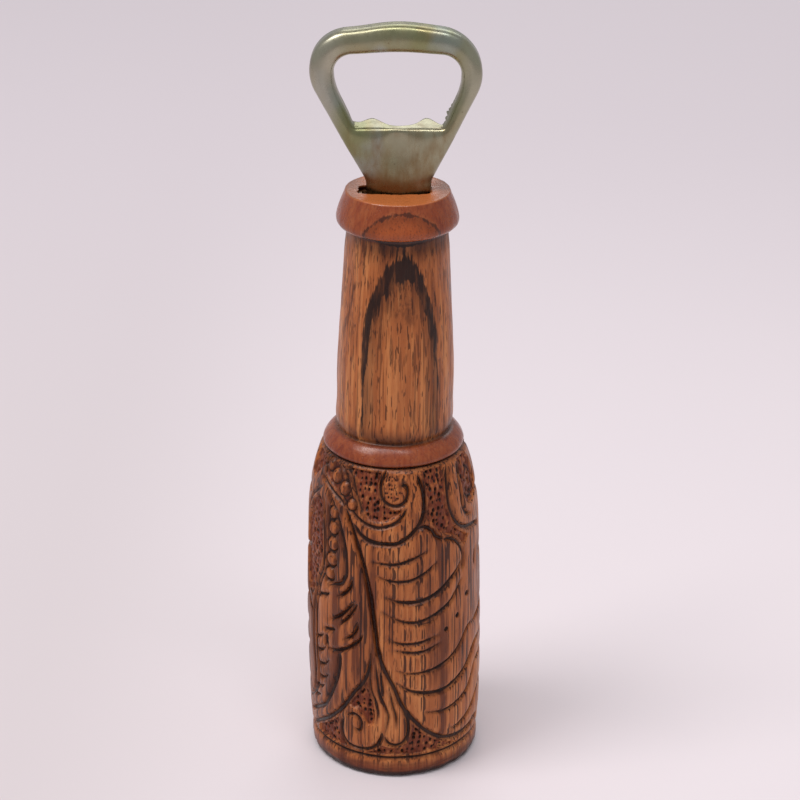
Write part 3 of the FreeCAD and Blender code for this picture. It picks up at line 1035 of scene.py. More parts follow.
@dataclass
class CarvedBody:
    """The carved band of the handle, made as a front and a back half that repeat the same motif."""

    finish: bpy.types.Material
    foot: float = 5.9
    top: float = 88.2
    flat_radius: float = 22.6       # radius at which the carving is laid out flat
    border_depth: float = 0.9
    border_width: float = 1.1
    pit_depth: float = 0.75
    pillow: float = 0.30            # how far the wood rounds down beside a line
    pillow_width: float = 0.8
    spacing: float = 0.252
    line_share: float = 0.88        # share of a groove's width that is cut
    depth_share: float = 0.85
    profile: tuple[Point, ...] = (
        (5.9, 22.1), (13, 22.58), (20.5, 22.74), (28, 22.88), (38, 22.93), (50, 22.72), (57, 22.6),
        (64, 22.38), (71, 22.0), (75.5, 21.5), (77.8, 21.15), (80, 20.72), (82.4, 20.2), (84.7, 19.55),
        (87, 18.75), (88.2, 18.1),
    )
    motif: tuple[Groove, ...] = (
        LEAF_VEINS + LEAF_EDGES + CRESCENT + STEM + FEATHERS + SCALLOPS + LEFT_RIDGE + LOWER_LEAF + ROOTS
        + RIGHT_SCROLL + SHOULDER_STEMS + SIDE_NOTCHES
    )

    def radius(self, height: np.ndarray) -> np.ndarray:
        """Return the uncarved radius at each height, on a smooth curve through the profile."""
        path = smooth_path(self.profile, 0.3)
        return np.interp(height, path[:, 0], path[:, 1])

    def flat(self, points: Sequence[Point], turn: float) -> np.ndarray:
        """Return carving points as flat millimetres, turned by a number of degrees."""
        table = np.asarray(points, dtype=float)
        return np.column_stack([np.radians(table[:, 0] + turn) * self.flat_radius, table[:, 1]])

    def cut_grooves(self, s: np.ndarray, z: np.ndarray) -> tuple[np.ndarray, np.ndarray, np.ndarray]:
        """Work out what the gouge takes away.

        For each groove the depth falls in a rounded V from the middle line to the half width, both
        of which run out to nothing over the taper at the ends.  On its sloped side the wood also
        falls towards the line with the square of the nearness.  The deepest cut wins.

        Args:
            s: flat distances round the body, a grid.
            z: heights, a grid.

        Returns:
            The depth of the lines, the depth of the slopes, and the gap to the nearest line's edge.
        """
        line, fall, gap = np.zeros(s.shape), np.zeros(s.shape), np.full(s.shape, CUT_REACH + 1.0)
        rough = 0.035 * wobble(s / self.flat_radius, z, 50, 5.0, 5)
        for groove in self.motif:
            reach = groove.width + abs(groove.slope) + CUT_REACH
            for turn in REPEATS:
                path = smooth_path(self.flat(groove.points, turn), 0.5)
                low, high = path.min(0) - reach, path.max(0) + reach
                window = window_between(s, z, low, high)
                if window is None:
                    continue
                away, share, side = nearest_on_path(s[window].ravel(), z[window].ravel(), path)
                ends = np.minimum(share / groove.taper, (1.0 - share) / (groove.tail or groove.taper))
                fade = np.clip(ends, 0.0, 1.0) ** 0.6
                half = self.line_share * groove.width / 2.0 * fade
                away = away + rough[window].ravel()
                vee = np.clip(1.0 - (away / np.maximum(half * 1.6, 1e-3)) ** 2, 0.0, 1.0) ** 1.5
                vee = self.depth_share * groove.depth * fade * vee
                shape = s[window].shape
                line[window] = np.maximum(line[window], vee.reshape(shape))
                gap[window] = np.minimum(gap[window], (away - half).reshape(shape))
                if groove.slope:
                    near = np.clip(1.0 - away / abs(groove.slope), 0.0, 1.0) ** 1.6
                    soft = groove.fall * fade * near * (side * math.copysign(1.0, groove.slope) > 0.0)
                    fall[window] = np.maximum(fall[window], soft.reshape(shape))
        return line, fall, gap

    def punch(self, s: np.ndarray, z: np.ndarray, ground: Ground, seed: int) -> tuple[np.ndarray, ...]:
        """Sink and punch one patch.

        The floor goes down softly over half a millimetre inside the outline.  The pits stand on a
        square lattice, each moved at random by up to a third of the pitch, and are a little taller
        than wide.

        Args:
            s: flat distances round the body, a grid.
            z: heights, a grid.
            ground: the patch.
            seed: fixes the places of the pits.

        Returns:
            The share of the floor's depth, and the gap to the nearest pit's edge.
        """
        sunk, gap = np.zeros(s.shape), np.full(s.shape, PIT_REACH + 1.0)
        for turn in REPEATS:
            outline = self.flat(ground.outline, turn)
            low, high = outline.min(0) - 1.0, outline.max(0) + 1.0
            window = window_between(s, z, low, high)
            if window is None:
                continue
            flat_s, flat_z = s[window].ravel(), z[window].ravel()
            away, _, _ = nearest_on_path(flat_s, flat_z, np.vstack([outline, outline[:1]]))
            within = np.where(inside_outline(flat_s, flat_z, outline), away, -away)
            floor = smooth_step(within, -0.15, 0.45)
            cells = np.ceil((high - low) / ground.pitch).astype(int) + 2
            shift = np.random.default_rng(seed).uniform(-0.34, 0.34, (*cells, 3))
            home = np.floor((np.column_stack([flat_s, flat_z]) - low) / ground.pitch).astype(int)
            nearest = np.full(len(flat_s), 9.0)
            for i in (-1, 0, 1):
                for j in (-1, 0, 1):
                    cell = np.clip(home + (i, j), 0, cells - 1)
                    moved = shift[cell[:, 0], cell[:, 1]]
                    centre = low + (cell + 0.5 + moved[:, :2]) * ground.pitch
                    off = np.hypot(flat_s - centre[:, 0], (flat_z - centre[:, 1]) / 1.35)
                    nearest = np.minimum(nearest, off - ground.pit_radius * (1.0 + moved[:, 2]))
            nearest = np.where(within > 0.35, nearest, PIT_REACH + 1.0)
            shape = s[window].shape
            sunk[window] = np.maximum(sunk[window], floor.reshape(shape))
            gap[window] = np.minimum(gap[window], nearest.reshape(shape))
        return sunk, gap

    def relief(self, angle: np.ndarray, z: np.ndarray) -> tuple[np.ndarray, dict[Mark, np.ndarray]]:
        """Return the height of the carved surface over the plain one, and the marks for its finish.

        Args:
            angle: angles from the front, in radians, a grid.
            z: heights, a grid.

        Returns:
            Millimetres outwards, below nought where wood is cut away, and the marks.
        """
        s = angle * self.flat_radius
        line, fall, gap = self.cut_grooves(s, z)
        pillow = self.pillow * np.exp(-np.clip(gap, 0.0, None) / self.pillow_width)
        rise = -line - fall - pillow
        ground, pits = np.zeros(s.shape), np.full(s.shape, PIT_REACH + 1.0)
        for number, patch in enumerate(GROUNDS):
            sunk, near = self.punch(s, z, patch, 20 + number)
            rise = np.where(sunk > 0.0, np.minimum(rise, rise * (1.0 - sunk) - patch.depth * sunk), rise)
            ground, pits = np.maximum(ground, sunk), np.minimum(pits, near)
        sunk, near = self.punch(s, z, DISC_GROUND, 70)
        pits = np.minimum(pits, near)
        ground = np.maximum(ground, 0.45 * sunk)
        rise = rise + 0.16 * ground * wobble(angle, z, 60, 3.0, 9)
        for bead in BEADS + LOBES + DRILLED:
            for turn in REPEATS:
                centre = self.flat([(bead.angle, bead.height)], turn)[0]
                off = np.hypot(s - centre[0], z - centre[1])
                if bead in DRILLED:
                    pits = np.minimum(pits, off - bead.radius)
                    continue
                dome = 0.2 - 0.8 * (np.clip(off / bead.radius, 0.0, 1.0) ** 2)
                moat = -1.15 * np.clip(1.0 - np.abs(off - bead.radius - 0.3) / 0.5, 0.0, 1.0)
                rise = np.where(off < bead.radius, dome, np.minimum(rise, moat))
                on_bead = smooth_step(off, bead.radius + 0.1, bead.radius - 0.2)
                ground = ground * (1.0 - on_bead)
                gap = np.minimum(gap, np.abs(off - bead.radius - 0.35) - 0.3)
                gap = np.where(off < bead.radius - 0.1, np.maximum(gap, bead.radius - off), gap)
        rise = rise - self.pit_depth * np.clip(1.0 - (pits + 0.28) / 0.4, 0.0, 1.0)
        border = np.minimum(z - self.foot, self.top - z)
        falling = -self.border_depth * (1.0 - border / self.border_width)
        rise = np.where(border < self.border_width, np.minimum(rise, falling), rise)
        gap = np.minimum(gap, border - 0.42)
        rise = rise + 0.05 * wobble(angle, z, 16, 14.0, 3)
        marks = {
            Mark.CUT: np.clip(CUT_REACH - gap, 0.0, 2.0 * CUT_REACH),
            Mark.PIT: np.clip(PIT_REACH - pits, 0.0, 2.0 * PIT_REACH),
            Mark.GROUND: ground,
        }
        return rise, marks

    def build(self) -> list[bpy.types.Object]:
        """Build both halves.

        Each half is a grid over angle and height: a point lies at the plain radius plus the relief.
        The grid is closed by the flat cut through the axis and by flat ends in the two borders.

        Returns:
            The front half and the back half.
        """
        columns = int(round(math.pi * self.flat_radius / self.spacing)) + 1
        rows = int(round((self.top - self.foot) / self.spacing)) + 1
        angle, z = np.meshgrid(np.linspace(-math.pi / 2, math.pi / 2, columns),
                               np.linspace(self.foot, self.top, rows))
        rise, marks = self.relief(angle, z)
        radius = self.radius(z) + rise
        halves = []
        for name, turn in (("carved_body_front", 1.0), ("carved_body_back", -1.0)):
            solid = Solid(name)
            numbers = solid.add_points(HandleLine.points_at(turn * radius, angle, z), marks)
            solid.skin(numbers)
            solid.skin(numbers[:, [-1, 0]])
            solid.cap(numbers[0], flip=True)
            solid.cap(numbers[-1])
            solid.crease(np.concatenate([numbers[0], numbers[-1], numbers[:, 0], numbers[:, -1]]))
            piece = solid.make()
            settle(piece, "wooden_handle", self.finish)
            halves.append(piece)
        return halves


@dataclass
class BaseRim:
    """The plain rim under the carving, with its rounded edge and the flat face it stands on."""

    finish: bpy.types.Material
    profile: tuple[Point, ...] = (
        (20.2, 0.0), (20.9, 0.12), (21.5, 0.5), (21.9, 1.1), (22.05, 1.8), (22.12, 2.8), (22.1, 3.8),
        (22.0, 4.6), (21.75, 5.2), (21.2, 5.9),
    )
    top: float = 5.9
    columns: int = 288

    def build(self) -> bpy.types.Object:
        """Build the rim.

        The surface is the smooth profile turned round the axis, with a slight wobble, small dents
        along the lower edge, a flat underside and a flat top inside the groove.

        Returns:
            The rim's object.
        """
        path = smooth_path(self.profile, 0.22)
        turn = np.linspace(0.0, 2.0 * math.pi, self.columns, endpoint=False)
        angle, row = np.meshgrid(turn, np.arange(len(path)))
        radius, z = path[row, 0], path[row, 1]
        worn = np.clip(wobble(angle, z, 40, 9.0, 31), 0.0, 1.0) * bell(z, 1.2, 1.0)
        uneven = 0.05 * wobble(angle, z, 14, 12.0, 33) * smooth_step(self.top - z, 0.0, 1.0)
        radius = radius + uneven - 0.22 * worn
        solid = Solid("base_rim")
        near_groove = np.clip(CUT_REACH + 0.42 - (self.top - z), 0.0, 2.0 * CUT_REACH)
        numbers = solid.add_points(HandleLine.points_at(radius, angle, z), {Mark.CUT: near_groove})
        solid.skin(numbers, closed=True)
        solid.cap(numbers[0], flip=True)
        solid.cap(numbers[-1])
        solid.crease(numbers[-1])
        piece = solid.make()
        settle(piece, "wooden_handle", self.finish)
        return piece


@dataclass
class BottleNeck:
    """The shoulder ring, the neck and the collar, with the mortise sunk into the collar's top."""

    finish: bpy.types.Material
    profile: tuple[Point, ...] = (
        (17.2, 88.2), (17.9, 88.75), (18.05, 89.3), (17.75, 90.2), (17.2, 91.1), (16.4, 92.0), (15.5, 92.7),
        (14.75, 93.0), (14.45, 93.2), (14.6, 93.7), (14.83, 94.6), (14.85, 100.8), (14.86, 108.0),
        (14.5, 117.0), (14.02, 125.4), (13.46, 133.4), (12.98, 141.4), (12.66, 145.6), (12.75, 146.6),
        (13.6, 147.0), (14.6, 147.4), (15.05, 148.0), (15.2, 148.9), (15.08, 149.8), (14.72, 151.2),
        (14.05, 153.2), (13.35, 154.9), (13.1, 155.6), (12.95, 155.92), (12.6, 156.0),
    )
    foot: float = 88.2
    top: float = 156.0
    columns: int = 288
    mouth_left: float = -9.7
    mouth_right: float = 8.0
    mouth_front: float = -4.1
    mouth_back: float = 2.5
    mouth_floor: float = 150.0

    def mouth_ring(self, angle: np.ndarray, seed: int) -> np.ndarray:
        """Return the mouth's four-sided outline, one point for each angle from its middle.

        A ray at each angle stops at a rounded four-sided outline, whose edge is ragged by a few
        hundredths of its reach.

        Args:
            angle: angles from the front, in radians.
            seed: fixes the raggedness.

        Returns:
            Flat points, x and y.
        """
        middle = np.array([self.mouth_left + self.mouth_right, self.mouth_front + self.mouth_back]) / 2.0
        half_x = (self.mouth_right - self.mouth_left) / 2.0
        half_y = (self.mouth_back - self.mouth_front) / 2.0
        x, y = np.sin(angle), -np.cos(angle)
        reach = ((np.abs(x) / half_x) ** 6 + (np.abs(y) / half_y) ** 6) ** (-1.0 / 6.0)
        reach = reach * (1.0 + 0.022 * wobble(angle, np.zeros_like(angle), 60, 5.0, seed))
        return middle + np.column_stack([reach * x, reach * y])

    def build(self) -> bpy.types.Object:
        """Build the neck.

        The side is the smooth profile turned round the axis.  The top runs in from the collar's rim
        to the mouth in straight steps, turns down over a small chamfer, and follows the walls to a
        flat floor.

        Returns:
            The neck's object.
        """
        path = smooth_path(self.profile, 0.36)
        turn = np.linspace(0.0, 2.0 * math.pi, self.columns, endpoint=False)
        angle, row = np.meshgrid(turn, np.arange(len(path)))
        radius, z = path[row, 0], path[row, 1]
        uneven = 0.07 * wobble(angle, z, 8, 26.0, 41) + 0.03 * wobble(angle, z, 30, 7.0, 43)
        radius = radius + smooth_step(z, self.foot, self.foot + 1.3) * uneven
        gap = np.minimum(np.abs(z - self.foot) - 0.3, np.abs(z - 93.15) - 0.1)
        gap = np.minimum(gap, np.abs(z - 146.5) - 0.25)
        solid = Solid("bottle_neck")
        places = HandleLine.points_at(radius, angle, z)
        side = solid.add_points(places, {Mark.CUT: np.clip(CUT_REACH - gap, 0.0, 2.0 * CUT_REACH)})
        solid.skin(side, closed=True)
        solid.cap(side[0], flip=True)
        solid.crease(side[0])
        rim = places[-1, :, :2]
        mouth = self.mouth_ring(turn, 47)
        share = np.array([0.12, 0.3, 0.5, 0.68, 0.82, 0.92, 0.98, 1.0])[:, None, None]
        flat = rim * (1.0 - share) + mouth * share
        dip = np.array([0.0, 0.0, 0.0, 0.0, 0.0, -0.02, -0.1, -0.32])[:, None]
        inward = share[:, :, 0]
        top = self.top + dip + 0.05 * wobble(turn[None, :] + inward, inward * 20.0, 24, 6.0, 51)
        near_mouth = CUT_REACH + 0.1 - np.hypot(*(flat - mouth).transpose(2, 0, 1))
        top_points = solid.add_points(np.concatenate([flat, top[..., None]], axis=-1),
                                      {Mark.CUT: np.clip(near_mouth, 0.0, 2.1)})
        depths = np.array([155.0, 153.5, 152.0, self.mouth_floor])[:, None]
        count = len(depths)
        walls = np.concatenate([np.broadcast_to(mouth, (count, *mouth.shape)),
                                np.broadcast_to(depths, (count, self.columns))[..., None]], axis=-1)
        wall_points = solid.add_points(walls, {Mark.CUT: np.full(walls.shape[:2], 3.0)})
        solid.skin(np.concatenate([side[-1:], top_points, wall_points]), closed=True)
        solid.cap(wall_points[-1])
        piece = solid.make()
        settle(piece, "wooden_handle", self.finish)
        return piece


# ---- the pressed head -----------------------------------------------------------------------------


@dataclass
class PressedHead:
    """The opener head pressed from one sheet: loop, lifting lip with two teeth, shank and tang."""

    finish: bpy.types.Material
    sheet: float = 1.1
    front: float = -3.4
    back: float = 1.8
    outer_roll: float = 1.5
    lip_roll: float = 0.9
    loop_roll: float = 0.6          # the sharper last bend at both edges of the loop
    loop_crown: float = 2.3         # how far the half-round section of the loop falls back
    shank_bulge: float = 1.8
    border: float = 160.0           # height at which the loop's grid hands over to the shank's
    lip_rise: float = 0.19          # how steeply the lip climbs as it goes back
    tooth_left: float = -6.5
    tooth_right: float = 6.9
    outer_half: tuple[Corner, ...] = (
        (8.0, 128.0, 0.9), (8.0, 158.3, 4.0), (26.8, 194.5, 10.8), (0.0, 197.7, 50.0),
    )
    opening_half: tuple[Corner, ...] = (
        (10.9, 172.2, 1.5), (15.3, 182.0, 13.0), (15.5, 189.8, 4.8), (0.0, 190.8, 80.0),
    )
    opening_shift: float = 0.4
    across: int = 26                # rows over the flat of the sheet
    lower: int = 48                 # columns along the lower side of the loop
    stretches: tuple[int, ...] = (84, 50, 50, 84)       # columns up, over and down the loop

    @staticmethod
    def outline(half: tuple[Corner, ...], shift: float) -> np.ndarray:
        """Return a closed outline with rounded corners, from the middle of its foot, rightwards.

        Each corner is replaced by the arc of its radius that touches both of its sides.

        Args:
            half: the right half's corners, from the foot up, as x, z and radius.
            shift: how far the whole outline is moved sideways.

        Returns:
            Flat points 0.15 mm apart, the last one the first.
        """
        corners = np.array(list(half) + [(-x, z, r) for x, z, r in reversed(half) if x > 0.0])
        foot = np.array([[0.0, half[0][1]]])
        parts = [foot]
        for index, (x, z, radius) in enumerate(corners):
            corner = np.array([x, z])
            before = corners[index - 1, :2] - corner
            after = corners[(index + 1) % len(corners), :2] - corner
            before, after = before / np.hypot(*before), after / np.hypot(*after)
            opening = math.acos(float(np.clip(before @ after, -1.0, 1.0))) / 2.0
            inward = (before + after) / np.hypot(*(before + after))
            centre = corner + inward * radius / math.sin(opening)
            reach = radius / math.tan(opening)
            first, last = corner + before * reach - centre, corner + after * reach - centre
            start = math.atan2(first[1], first[0])
            sweep = (math.atan2(last[1], last[0]) - start + math.pi) % (2.0 * math.pi) - math.pi
            turn = start + sweep * np.linspace(0.0, 1.0, max(6, int(abs(sweep) * radius / 0.12)))
            parts.append(centre + radius * np.column_stack([np.cos(turn), np.sin(turn)]))
        path = np.vstack(parts + [foot])
        path[:, 0] += shift
        run = distance_along(path)
        even = np.linspace(0.0, run[-1], int(run[-1] / 0.15))
        return np.column_stack([np.interp(even, run, path[:, 0]), np.interp(even, run, path[:, 1])])

    @staticmethod
    def walk(path: np.ndarray, stops: Sequence[Point], counts: Sequence[int]) -> np.ndarray:
        """Walk along an open path in steps that are even between stops.

        Args:
            path: the path.
            stops: the points of the path nearest to these split it into stretches.
            counts: how many steps each stretch gets.

        Returns:
            The points stepped on, the last one left out.
        """
        run = distance_along(path)
        marks = [0.0] + [run[np.hypot(*(path - stop).T).argmin()] for stop in stops] + [run[-1]]
        steps = [np.linspace(a, b, n, endpoint=False) for a, b, n in zip(marks[:-1], marks[1:], counts)]
        places = np.concatenate(steps)
        return np.column_stack([np.interp(places, run, path[:, 0]), np.interp(places, run, path[:, 1])])

    @staticmethod
    def eased(first: Point, last: Point, count: int) -> np.ndarray:
        """Return count points on a straight line from first, closer together towards both ends."""
        share = (1.0 - np.cos(np.linspace(0.0, math.pi, count, endpoint=False)))[:, None] / 2.0
        return np.asarray(first) * (1.0 - share) + np.asarray(last) * share

    @staticmethod
    def rolled(away: np.ndarray, radius: np.ndarray) -> np.ndarray:
        """Return how far a quarter-round edge falls back, from the distance to the edge."""
        share = np.clip(1.0 - away / radius, 0.0, 1.0)
        return radius * (1.0 - np.sqrt(np.clip(1.0 - share**2, 0.0, 1.0)))

    def depth_at(self, x: np.ndarray, z: np.ndarray, outer: np.ndarray, inner: np.ndarray) -> np.ndarray:
        """Return y of the sheet's front over the flat of the head.

        The front plane falls back by a quarter round at both outlines.  The loop has a half-round
        section, an ellipse over the share of the way from one outline to the other.  The shank
        bulges forward in its middle, more and more towards the wood.

        Args:
            x: places across.
            z: heights.
            outer: the outer outline.
            inner: the outline of the opening.

        Returns:
            y in millimetres, in the shape of x.
        """
        to_outer = nearest_on_path(x.ravel(), z.ravel(), outer)[0].reshape(x.shape)
        to_inner = nearest_on_path(x.ravel(), z.ravel(), inner)[0].reshape(x.shape)
        shank = smooth_step(z, 174.0, 158.0)
        width = to_outer + to_inner
        loop = smooth_step(width, 13.5, 8.5) * smooth_step(z, 166.0, 175.0)
        off_middle = (to_outer - to_inner) / width
        crown = self.loop_crown * loop * (1.0 - np.sqrt(1.0 - 0.97 * off_middle**2))
        outer_roll = self.outer_roll + (self.loop_roll - self.outer_roll) * loop
        inner_roll = self.lip_roll + (self.loop_roll - self.lip_roll) * loop
        half = 8.0 + 0.52 * np.clip(z - 158.3, 0.0, None)
        bulge = self.shank_bulge * shank * np.clip(np.abs(x) / half, 0.0, 1.0) ** 2
        hollow = 0.3 * bell(z, 166.5, 4.5) * bell(x, 0.0, 7.0)
        fall = self.rolled(to_outer, outer_roll) + self.rolled(to_inner, inner_roll)
        return self.front + crown + fall + bulge + hollow - 0.2 * shank

    def lip_reach(self, x: np.ndarray, z: np.ndarray) -> np.ndarray:
        """Return how far the sheet goes back at the opening's edge.

        Over the lip it is a low wall with a hump for each tooth, and over the sides and the top it
        is an even one.

        Args:
            x: places across, from the middle of the opening.
            z: heights.

        Returns:
            Millimetres, in the shape of x.
        """
        left = 3.0 * bell(x, self.tooth_left, 2.8) + 1.3 * bell(x, -10.6, 0.8)
        right = 3.4 * bell(x, self.tooth_right, 2.2)
        sides = smooth_step(z, 172.5, 175.2)
        return (1.1 + left + right) * (1.0 - sides) + 2.9 * sides

    def lean(self, places: np.ndarray) -> np.ndarray:
        """Return the points with the small faults of the real head.

        The head leans to the left by a good millimetre over its height, its top bar dips by nearly
        half a millimetre left of the middle, and it is glued in a little to the right.

        Args:
            places: points, with x, y and z along the last axis.

        Returns:
            The moved points.
        """
        x, y, z = places[..., 0], places[..., 1], places[..., 2]
        top = smooth_step(z, 188.0, 196.0)
        dipped = z - 0.4 * top * bell(x, -9.0, 7.5) + 0.15 * top * bell(x, 3.0, 7.0)
        leaned = x + 0.25 - 1.3 * np.clip(z - 156.0, 0.0, None) / 40.0
        return np.stack([leaned, y, dipped], axis=-1)

    def columns(self, outer: np.ndarray, inner: np.ndarray) -> tuple[np.ndarray, np.ndarray]:
        """Step round the loop's rim and round the opening, each point of one facing one of the other.

        Both run rightwards along the lower side, then back over the top.  The lower side of the
        opening is straight but for its last millimetre at both ends, where it comes up to the
        corner with the square of the nearness.

        Args:
            outer: the outer outline.
            inner: the outline of the opening.

        Returns:
            The points of the rim and those of the opening.
        """
        s = self.opening_shift
        loop_rim = outer[outer[:, 1] >= self.border]
        rim = np.concatenate([
            self.eased(loop_rim[-1], loop_rim[0], self.lower),
            self.walk(loop_rim, [(20.6, 191.0), (0.0, 197.6), (-20.6, 191.0)], self.stretches),
        ])
        first = np.hypot(inner[:-1, 0] - (s + 10.6), inner[:-1, 1] - 172.6).argmin()
        around = np.roll(inner[:-1], -first, axis=0)
        last = np.hypot(around[:, 0] - (s - 10.6), around[:, 1] - 172.6).argmin()
        hole = np.concatenate([
            self.eased(around[last], around[0], self.lower),
            self.walk(around[:last + 1], [(s + 14.6, 189.0), (s, 190.7), (s - 14.6, 189.0)], self.stretches),
        ])
        foot, x = self.opening_half[0][1], hole[1:self.lower, 0]
        to_corner = np.minimum(x - hole[0, 0], hole[self.lower, 0] - x)
        hole[1:self.lower, 1] = foot + (hole[0, 1] - foot) * np.clip(1.0 - to_corner / 1.1, 0.0, 1.0) ** 2
        return rim, hole

    def rows(self, span: np.ndarray) -> np.ndarray:
        """Return the rows' shares of the way from rim to opening, closer together near both.

        Args:
            span: how far each column runs, in millimetres.

        Returns:
            Shares of 0 to 1, rows by columns.
        """
        edge = np.array([0.0, 0.03, 0.09, 0.2, 0.36, 0.58, 0.85, 1.2, 1.6])
        squeeze = np.minimum(1.0, 0.4 * span / edge[-1])
        from_rim = edge[:, None] * squeeze / span
        to_hole = 1.0 - edge[::-1, None] * squeeze / span
        between = np.linspace(0.0, 1.0, self.across)[1:-1, None]
        return np.concatenate([from_rim, from_rim[-1] + between * (to_hole[0] - from_rim[-1]), to_hole])

    def lip(self, hole: np.ndarray, start: np.ndarray) -> np.ndarray:
        """Return the sheet that goes back from the opening's edge, ten rows of points.

        Over the lip it climbs as it goes back.  Low on the right its edge is a little torn.

        Args:
            hole: the points of the opening.
            start: y of the sheet's front at each.

        Returns:
            Points, rows by columns.
        """
        s = self.opening_shift
        torn = 0.5 * bell(hole[:, 1], 174.8, 2.0) * (hole[:, 0] > 0.0) * np.sin(3.1 * hole[:, 1])
        reach = self.lip_reach(hole[:, 0] - s, hole[:, 1]) + torn
        reach = reach + 0.06 * wobble(hole[:, 0] / 4.0, hole[:, 1], 12, 9.0, 61)
        steps = np.linspace(0.0, 1.0, 11)[1:, None]
        on_lip = smooth_step(hole[:, 1], 174.0, 172.4) * smooth_step(np.abs(hole[:, 0] - s), 11.5, 9.5)
        return np.stack([
            hole[:, 0] - 0.9 * np.abs(torn) * steps,
            start + steps * reach,
            hole[:, 1] + steps * (reach * self.lip_rise * on_lip + 0.4 * np.abs(torn)),
        ], axis=-1)

    def shank(self, outer: np.ndarray, inner: np.ndarray, lower_rim: np.ndarray) -> np.ndarray:
        """Return the shank and tang under the border, with the sides that go back from them.

        Args:
            outer: the outer outline.
            inner: the outline of the opening.
            lower_rim: x of the points along the border, from left to right.

        Returns:
            Points in 59 rows, from the back of the left side round the front to that of the right.
        """
        z = np.linspace(self.border, self.outer_half[0][1], 60)[1:]
        right = outer[(outer[:, 0] > 0.0) & (outer[:, 1] < self.border + 1.0)]
        half = np.interp(z, right[:, 1], right[:, 0])[:, None]
        x = lower_rim / lower_rim[-1] * half
        deep = np.broadcast_to(z[:, None], x.shape)
        y = self.depth_at(x, deep, outer, inner)
        steps = np.linspace(0.0, 1.0, 9)[1:]
        back_y = y[:, -1:] + steps * (self.back - y[:, -1:])
        walls_z = np.broadcast_to(z[:, None], back_y.shape)
        walls_x = np.broadcast_to(half, back_y.shape)
        return np.concatenate([
            np.stack([-walls_x, back_y, walls_z], axis=-1)[:, ::-1],
            np.stack([x, y, deep], axis=-1),
            np.stack([walls_x, back_y, walls_z], axis=-1),
        ], axis=1)

    def build(self) -> bpy.types.Object:
        """Build the head.

        The loop is a grid that runs round it one way and from the outer outline to the opening the
        other way.  It starts behind the outer edge, comes round it, crosses the front and goes back
        again at the opening, as a channel that is open behind.  Under the border the shank and tang
        are a second grid that hangs on the same points.  Solidify gives both the sheet's thickness.

        Returns:
            The head's object.
        """
        outer = self.outline(self.outer_half, 0.0)
        inner = self.outline(self.opening_half, self.opening_shift)
        rim, hole = self.columns(outer, inner)
        share = self.rows(np.hypot(*(hole - rim).T))[..., None]
        flat = rim * (1.0 - share) + hole * share
        y = self.depth_at(flat[..., 0], flat[..., 1], outer, inner)
        face = np.stack([flat[..., 0], y, flat[..., 1]], axis=-1)
        sides = np.append(np.arange(self.lower, len(rim)), 0)
        wall_y = y[0, sides] + np.linspace(1.0, 0.0, 9)[:-1, None] * (self.back - y[0, sides])
        wall = np.stack([np.broadcast_to(rim[sides, 0], wall_y.shape), wall_y,
                         np.broadcast_to(rim[sides, 1], wall_y.shape)], axis=-1)

        solid = Solid("pressed_head")
        face_points = solid.add_points(self.lean(face))
        lip_points = solid.add_points(self.lean(self.lip(hole, y[-1])))
        wall_points = solid.add_points(self.lean(wall))
        solid.skin(np.concatenate([face_points, lip_points]), closed=True)
        solid.skin(np.concatenate([wall_points, face_points[:1, sides]]))
        shank = solid.add_points(self.lean(self.shank(outer, inner, rim[:self.lower + 1, 0])))
        hung = np.concatenate([wall_points[:, -1], face_points[0, :self.lower + 1], wall_points[::-1, 0]])
        solid.skin(np.concatenate([hung[None], shank]), flip=True)
        piece = solid.make()
        thicken = piece.modifiers.new("sheet", "SOLIDIFY")
        thicken.thickness = self.sheet * MM
        thicken.offset = -1.0
        settle(piece, "opener_head", self.finish)
        return piece


# ---- floor, light and camera ----------------------------------------------------------------------


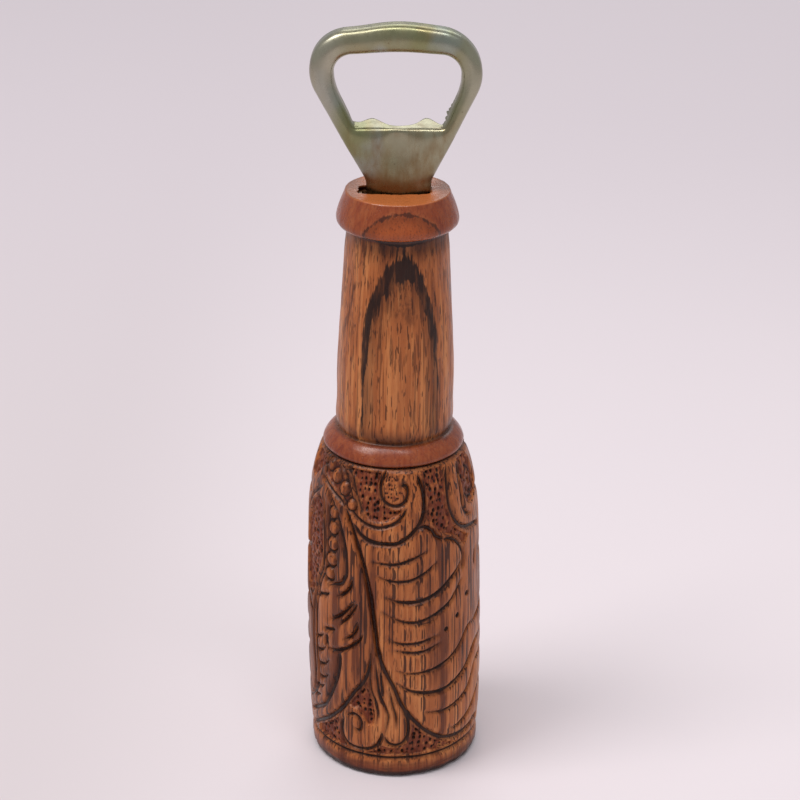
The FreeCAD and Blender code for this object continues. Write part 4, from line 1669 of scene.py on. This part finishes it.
@dataclass
class Studio:
    """The pale floor, the soft lights and the camera, in metres, radians and lens millimetres."""

    floor_size: float = 6.0
    distance: float = 0.54177
    camera_height: float = 0.33859
    pitch: float = 0.416            # how far the camera looks down
    roll: float = 0.009
    lens: float = 104.36
    shift: float = 0.0051           # sideways shift of the lens, as a share of the picture's width
    floor_colour: Colour = paint(231, 220, 223)
    floor_cloud: Colour = paint(226, 215, 220)
    floor_shade_left: Colour = paint(210, 199, 201)
    floor_shade_far: Colour = paint(216, 205, 210)
    world_light: float = 0.5

    def lay_floor(self) -> None:
        """Lay the floor, a large flat sheet with painted shade that greys it to the left and far away."""
        half = self.floor_size / 2.0
        corners = np.array([[-half, -half, 0.0], [half, -half, 0.0], [half, half, 0.0], [-half, half, 0.0]])
        mesh = bpy.data.meshes.new("floor")
        mesh.from_pydata(corners.tolist(), [], [(0, 1, 2, 3)])
        floor = bpy.data.objects.new("floor", mesh)
        bpy.context.scene.collection.objects.link(floor)
        g = Graph("pale_floor")
        cloud = g.span(g.noise(g.place, 0.006, 3.0), 0.3, 0.7, 0.0, 0.25)
        colour = g.blend(cloud, self.floor_colour, self.floor_cloud)
        # Painted shade: the floor is painted greyer from the middle towards the left, over the first 110 mm.
        colour = g.blend(g.span(g.axis("X"), 0.0, -110.0, 0.0, 0.9), colour, self.floor_shade_left)
        # Painted shade: it is also painted greyer towards the back, over the first 600 mm.
        colour = g.blend(g.span(g.axis("Y"), 0.0, 600.0, 0.0, 0.9), colour, self.floor_shade_far)
        g.join(colour, g.shader.inputs["Base Color"])
        g.shader.inputs["Roughness"].default_value = 0.85
        g.shader.inputs["Specular IOR Level"].default_value = 0.2
        mesh.materials.append(g.material)

    @staticmethod
    def hang_light(name: str, place: Corner, width: float, depth: float, power: float, tint: Corner) -> None:
        """Hang one soft box that faces the opener.

        Args:
            name: its name.
            place: where it hangs, in metres.
            width: its level side, in metres.
            depth: its other side, in metres.
            power: its power in watts.
            tint: its colour.
        """
        data = bpy.data.lights.new(name, "AREA")
        data.shape = "RECTANGLE"
        data.size = width
        data.size_y = depth
        data.energy = power
        data.color = tint
        light = bpy.data.objects.new(name, data)
        bpy.context.scene.collection.objects.link(light)
        light.location = place
        aim = Vector(AIM) - light.location
        light.rotation_euler = aim.to_track_quat("-Z", "Y").to_euler()

    def set_up(self) -> None:
        """Lay the floor, hang the lights, set the air's light and place the camera."""
        scene = bpy.context.scene
        scene.view_settings.view_transform = "Standard"
        self.lay_floor()
        self.hang_light("key_light", (-0.66, -0.3, 1.3), 0.55, 0.55, 6.2, (1.0, 0.985, 0.98))
        self.hang_light("top_light", (-0.12, -0.28, 1.4), 1.3, 0.3, 7.0, (0.99, 0.99, 1.0))
        self.hang_light("back_light", (0.3, 1.9, 1.7), 1.6, 1.3, 13.5, (0.97, 0.985, 1.0))
        world = bpy.data.worlds.new("studio_air")
        world.use_nodes = True
        background = world.node_tree.nodes["Background"]
        background.inputs["Color"].default_value = (0.96, 0.97, 1.0, 1.0)
        background.inputs["Strength"].default_value = self.world_light
        scene.world = world
        data = bpy.data.cameras.new("camera")
        data.lens = self.lens
        data.sensor_width = 36.0
        data.shift_x = self.shift
        data.clip_start = 0.01
        data.clip_end = 20.0
        camera = bpy.data.objects.new("camera", data)
        scene.collection.objects.link(camera)
        place = Matrix.Translation((0.0, -self.distance, self.camera_height))
        tilt = Matrix.Rotation(math.pi / 2.0 - self.pitch, 4, "X")
        camera.matrix_world = place @ tilt @ Matrix.Rotation(self.roll, 4, "Z")
        scene.camera = camera


def dress_glue() -> None:
    """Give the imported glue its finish."""
    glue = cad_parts["tang_adhesive"]
    glue.data.materials.clear()
    glue.data.materials.append(SetGlue().material())
    LOG.info("%s: dressed", glue.name)


def main() -> None:
    """Build the opener piece by piece, and the studio around it."""
    logging.basicConfig(level=logging.INFO, format="%(name)s: %(message)s")
    Studio().set_up()
    wood = VarnishedWood().material()
    BaseRim(wood).build()
    CarvedBody(wood).build()
    BottleNeck(wood).build()
    PressedHead(PlatedSteel().material()).build()
    dress_glue()


if __name__ == "__main__":
    main()
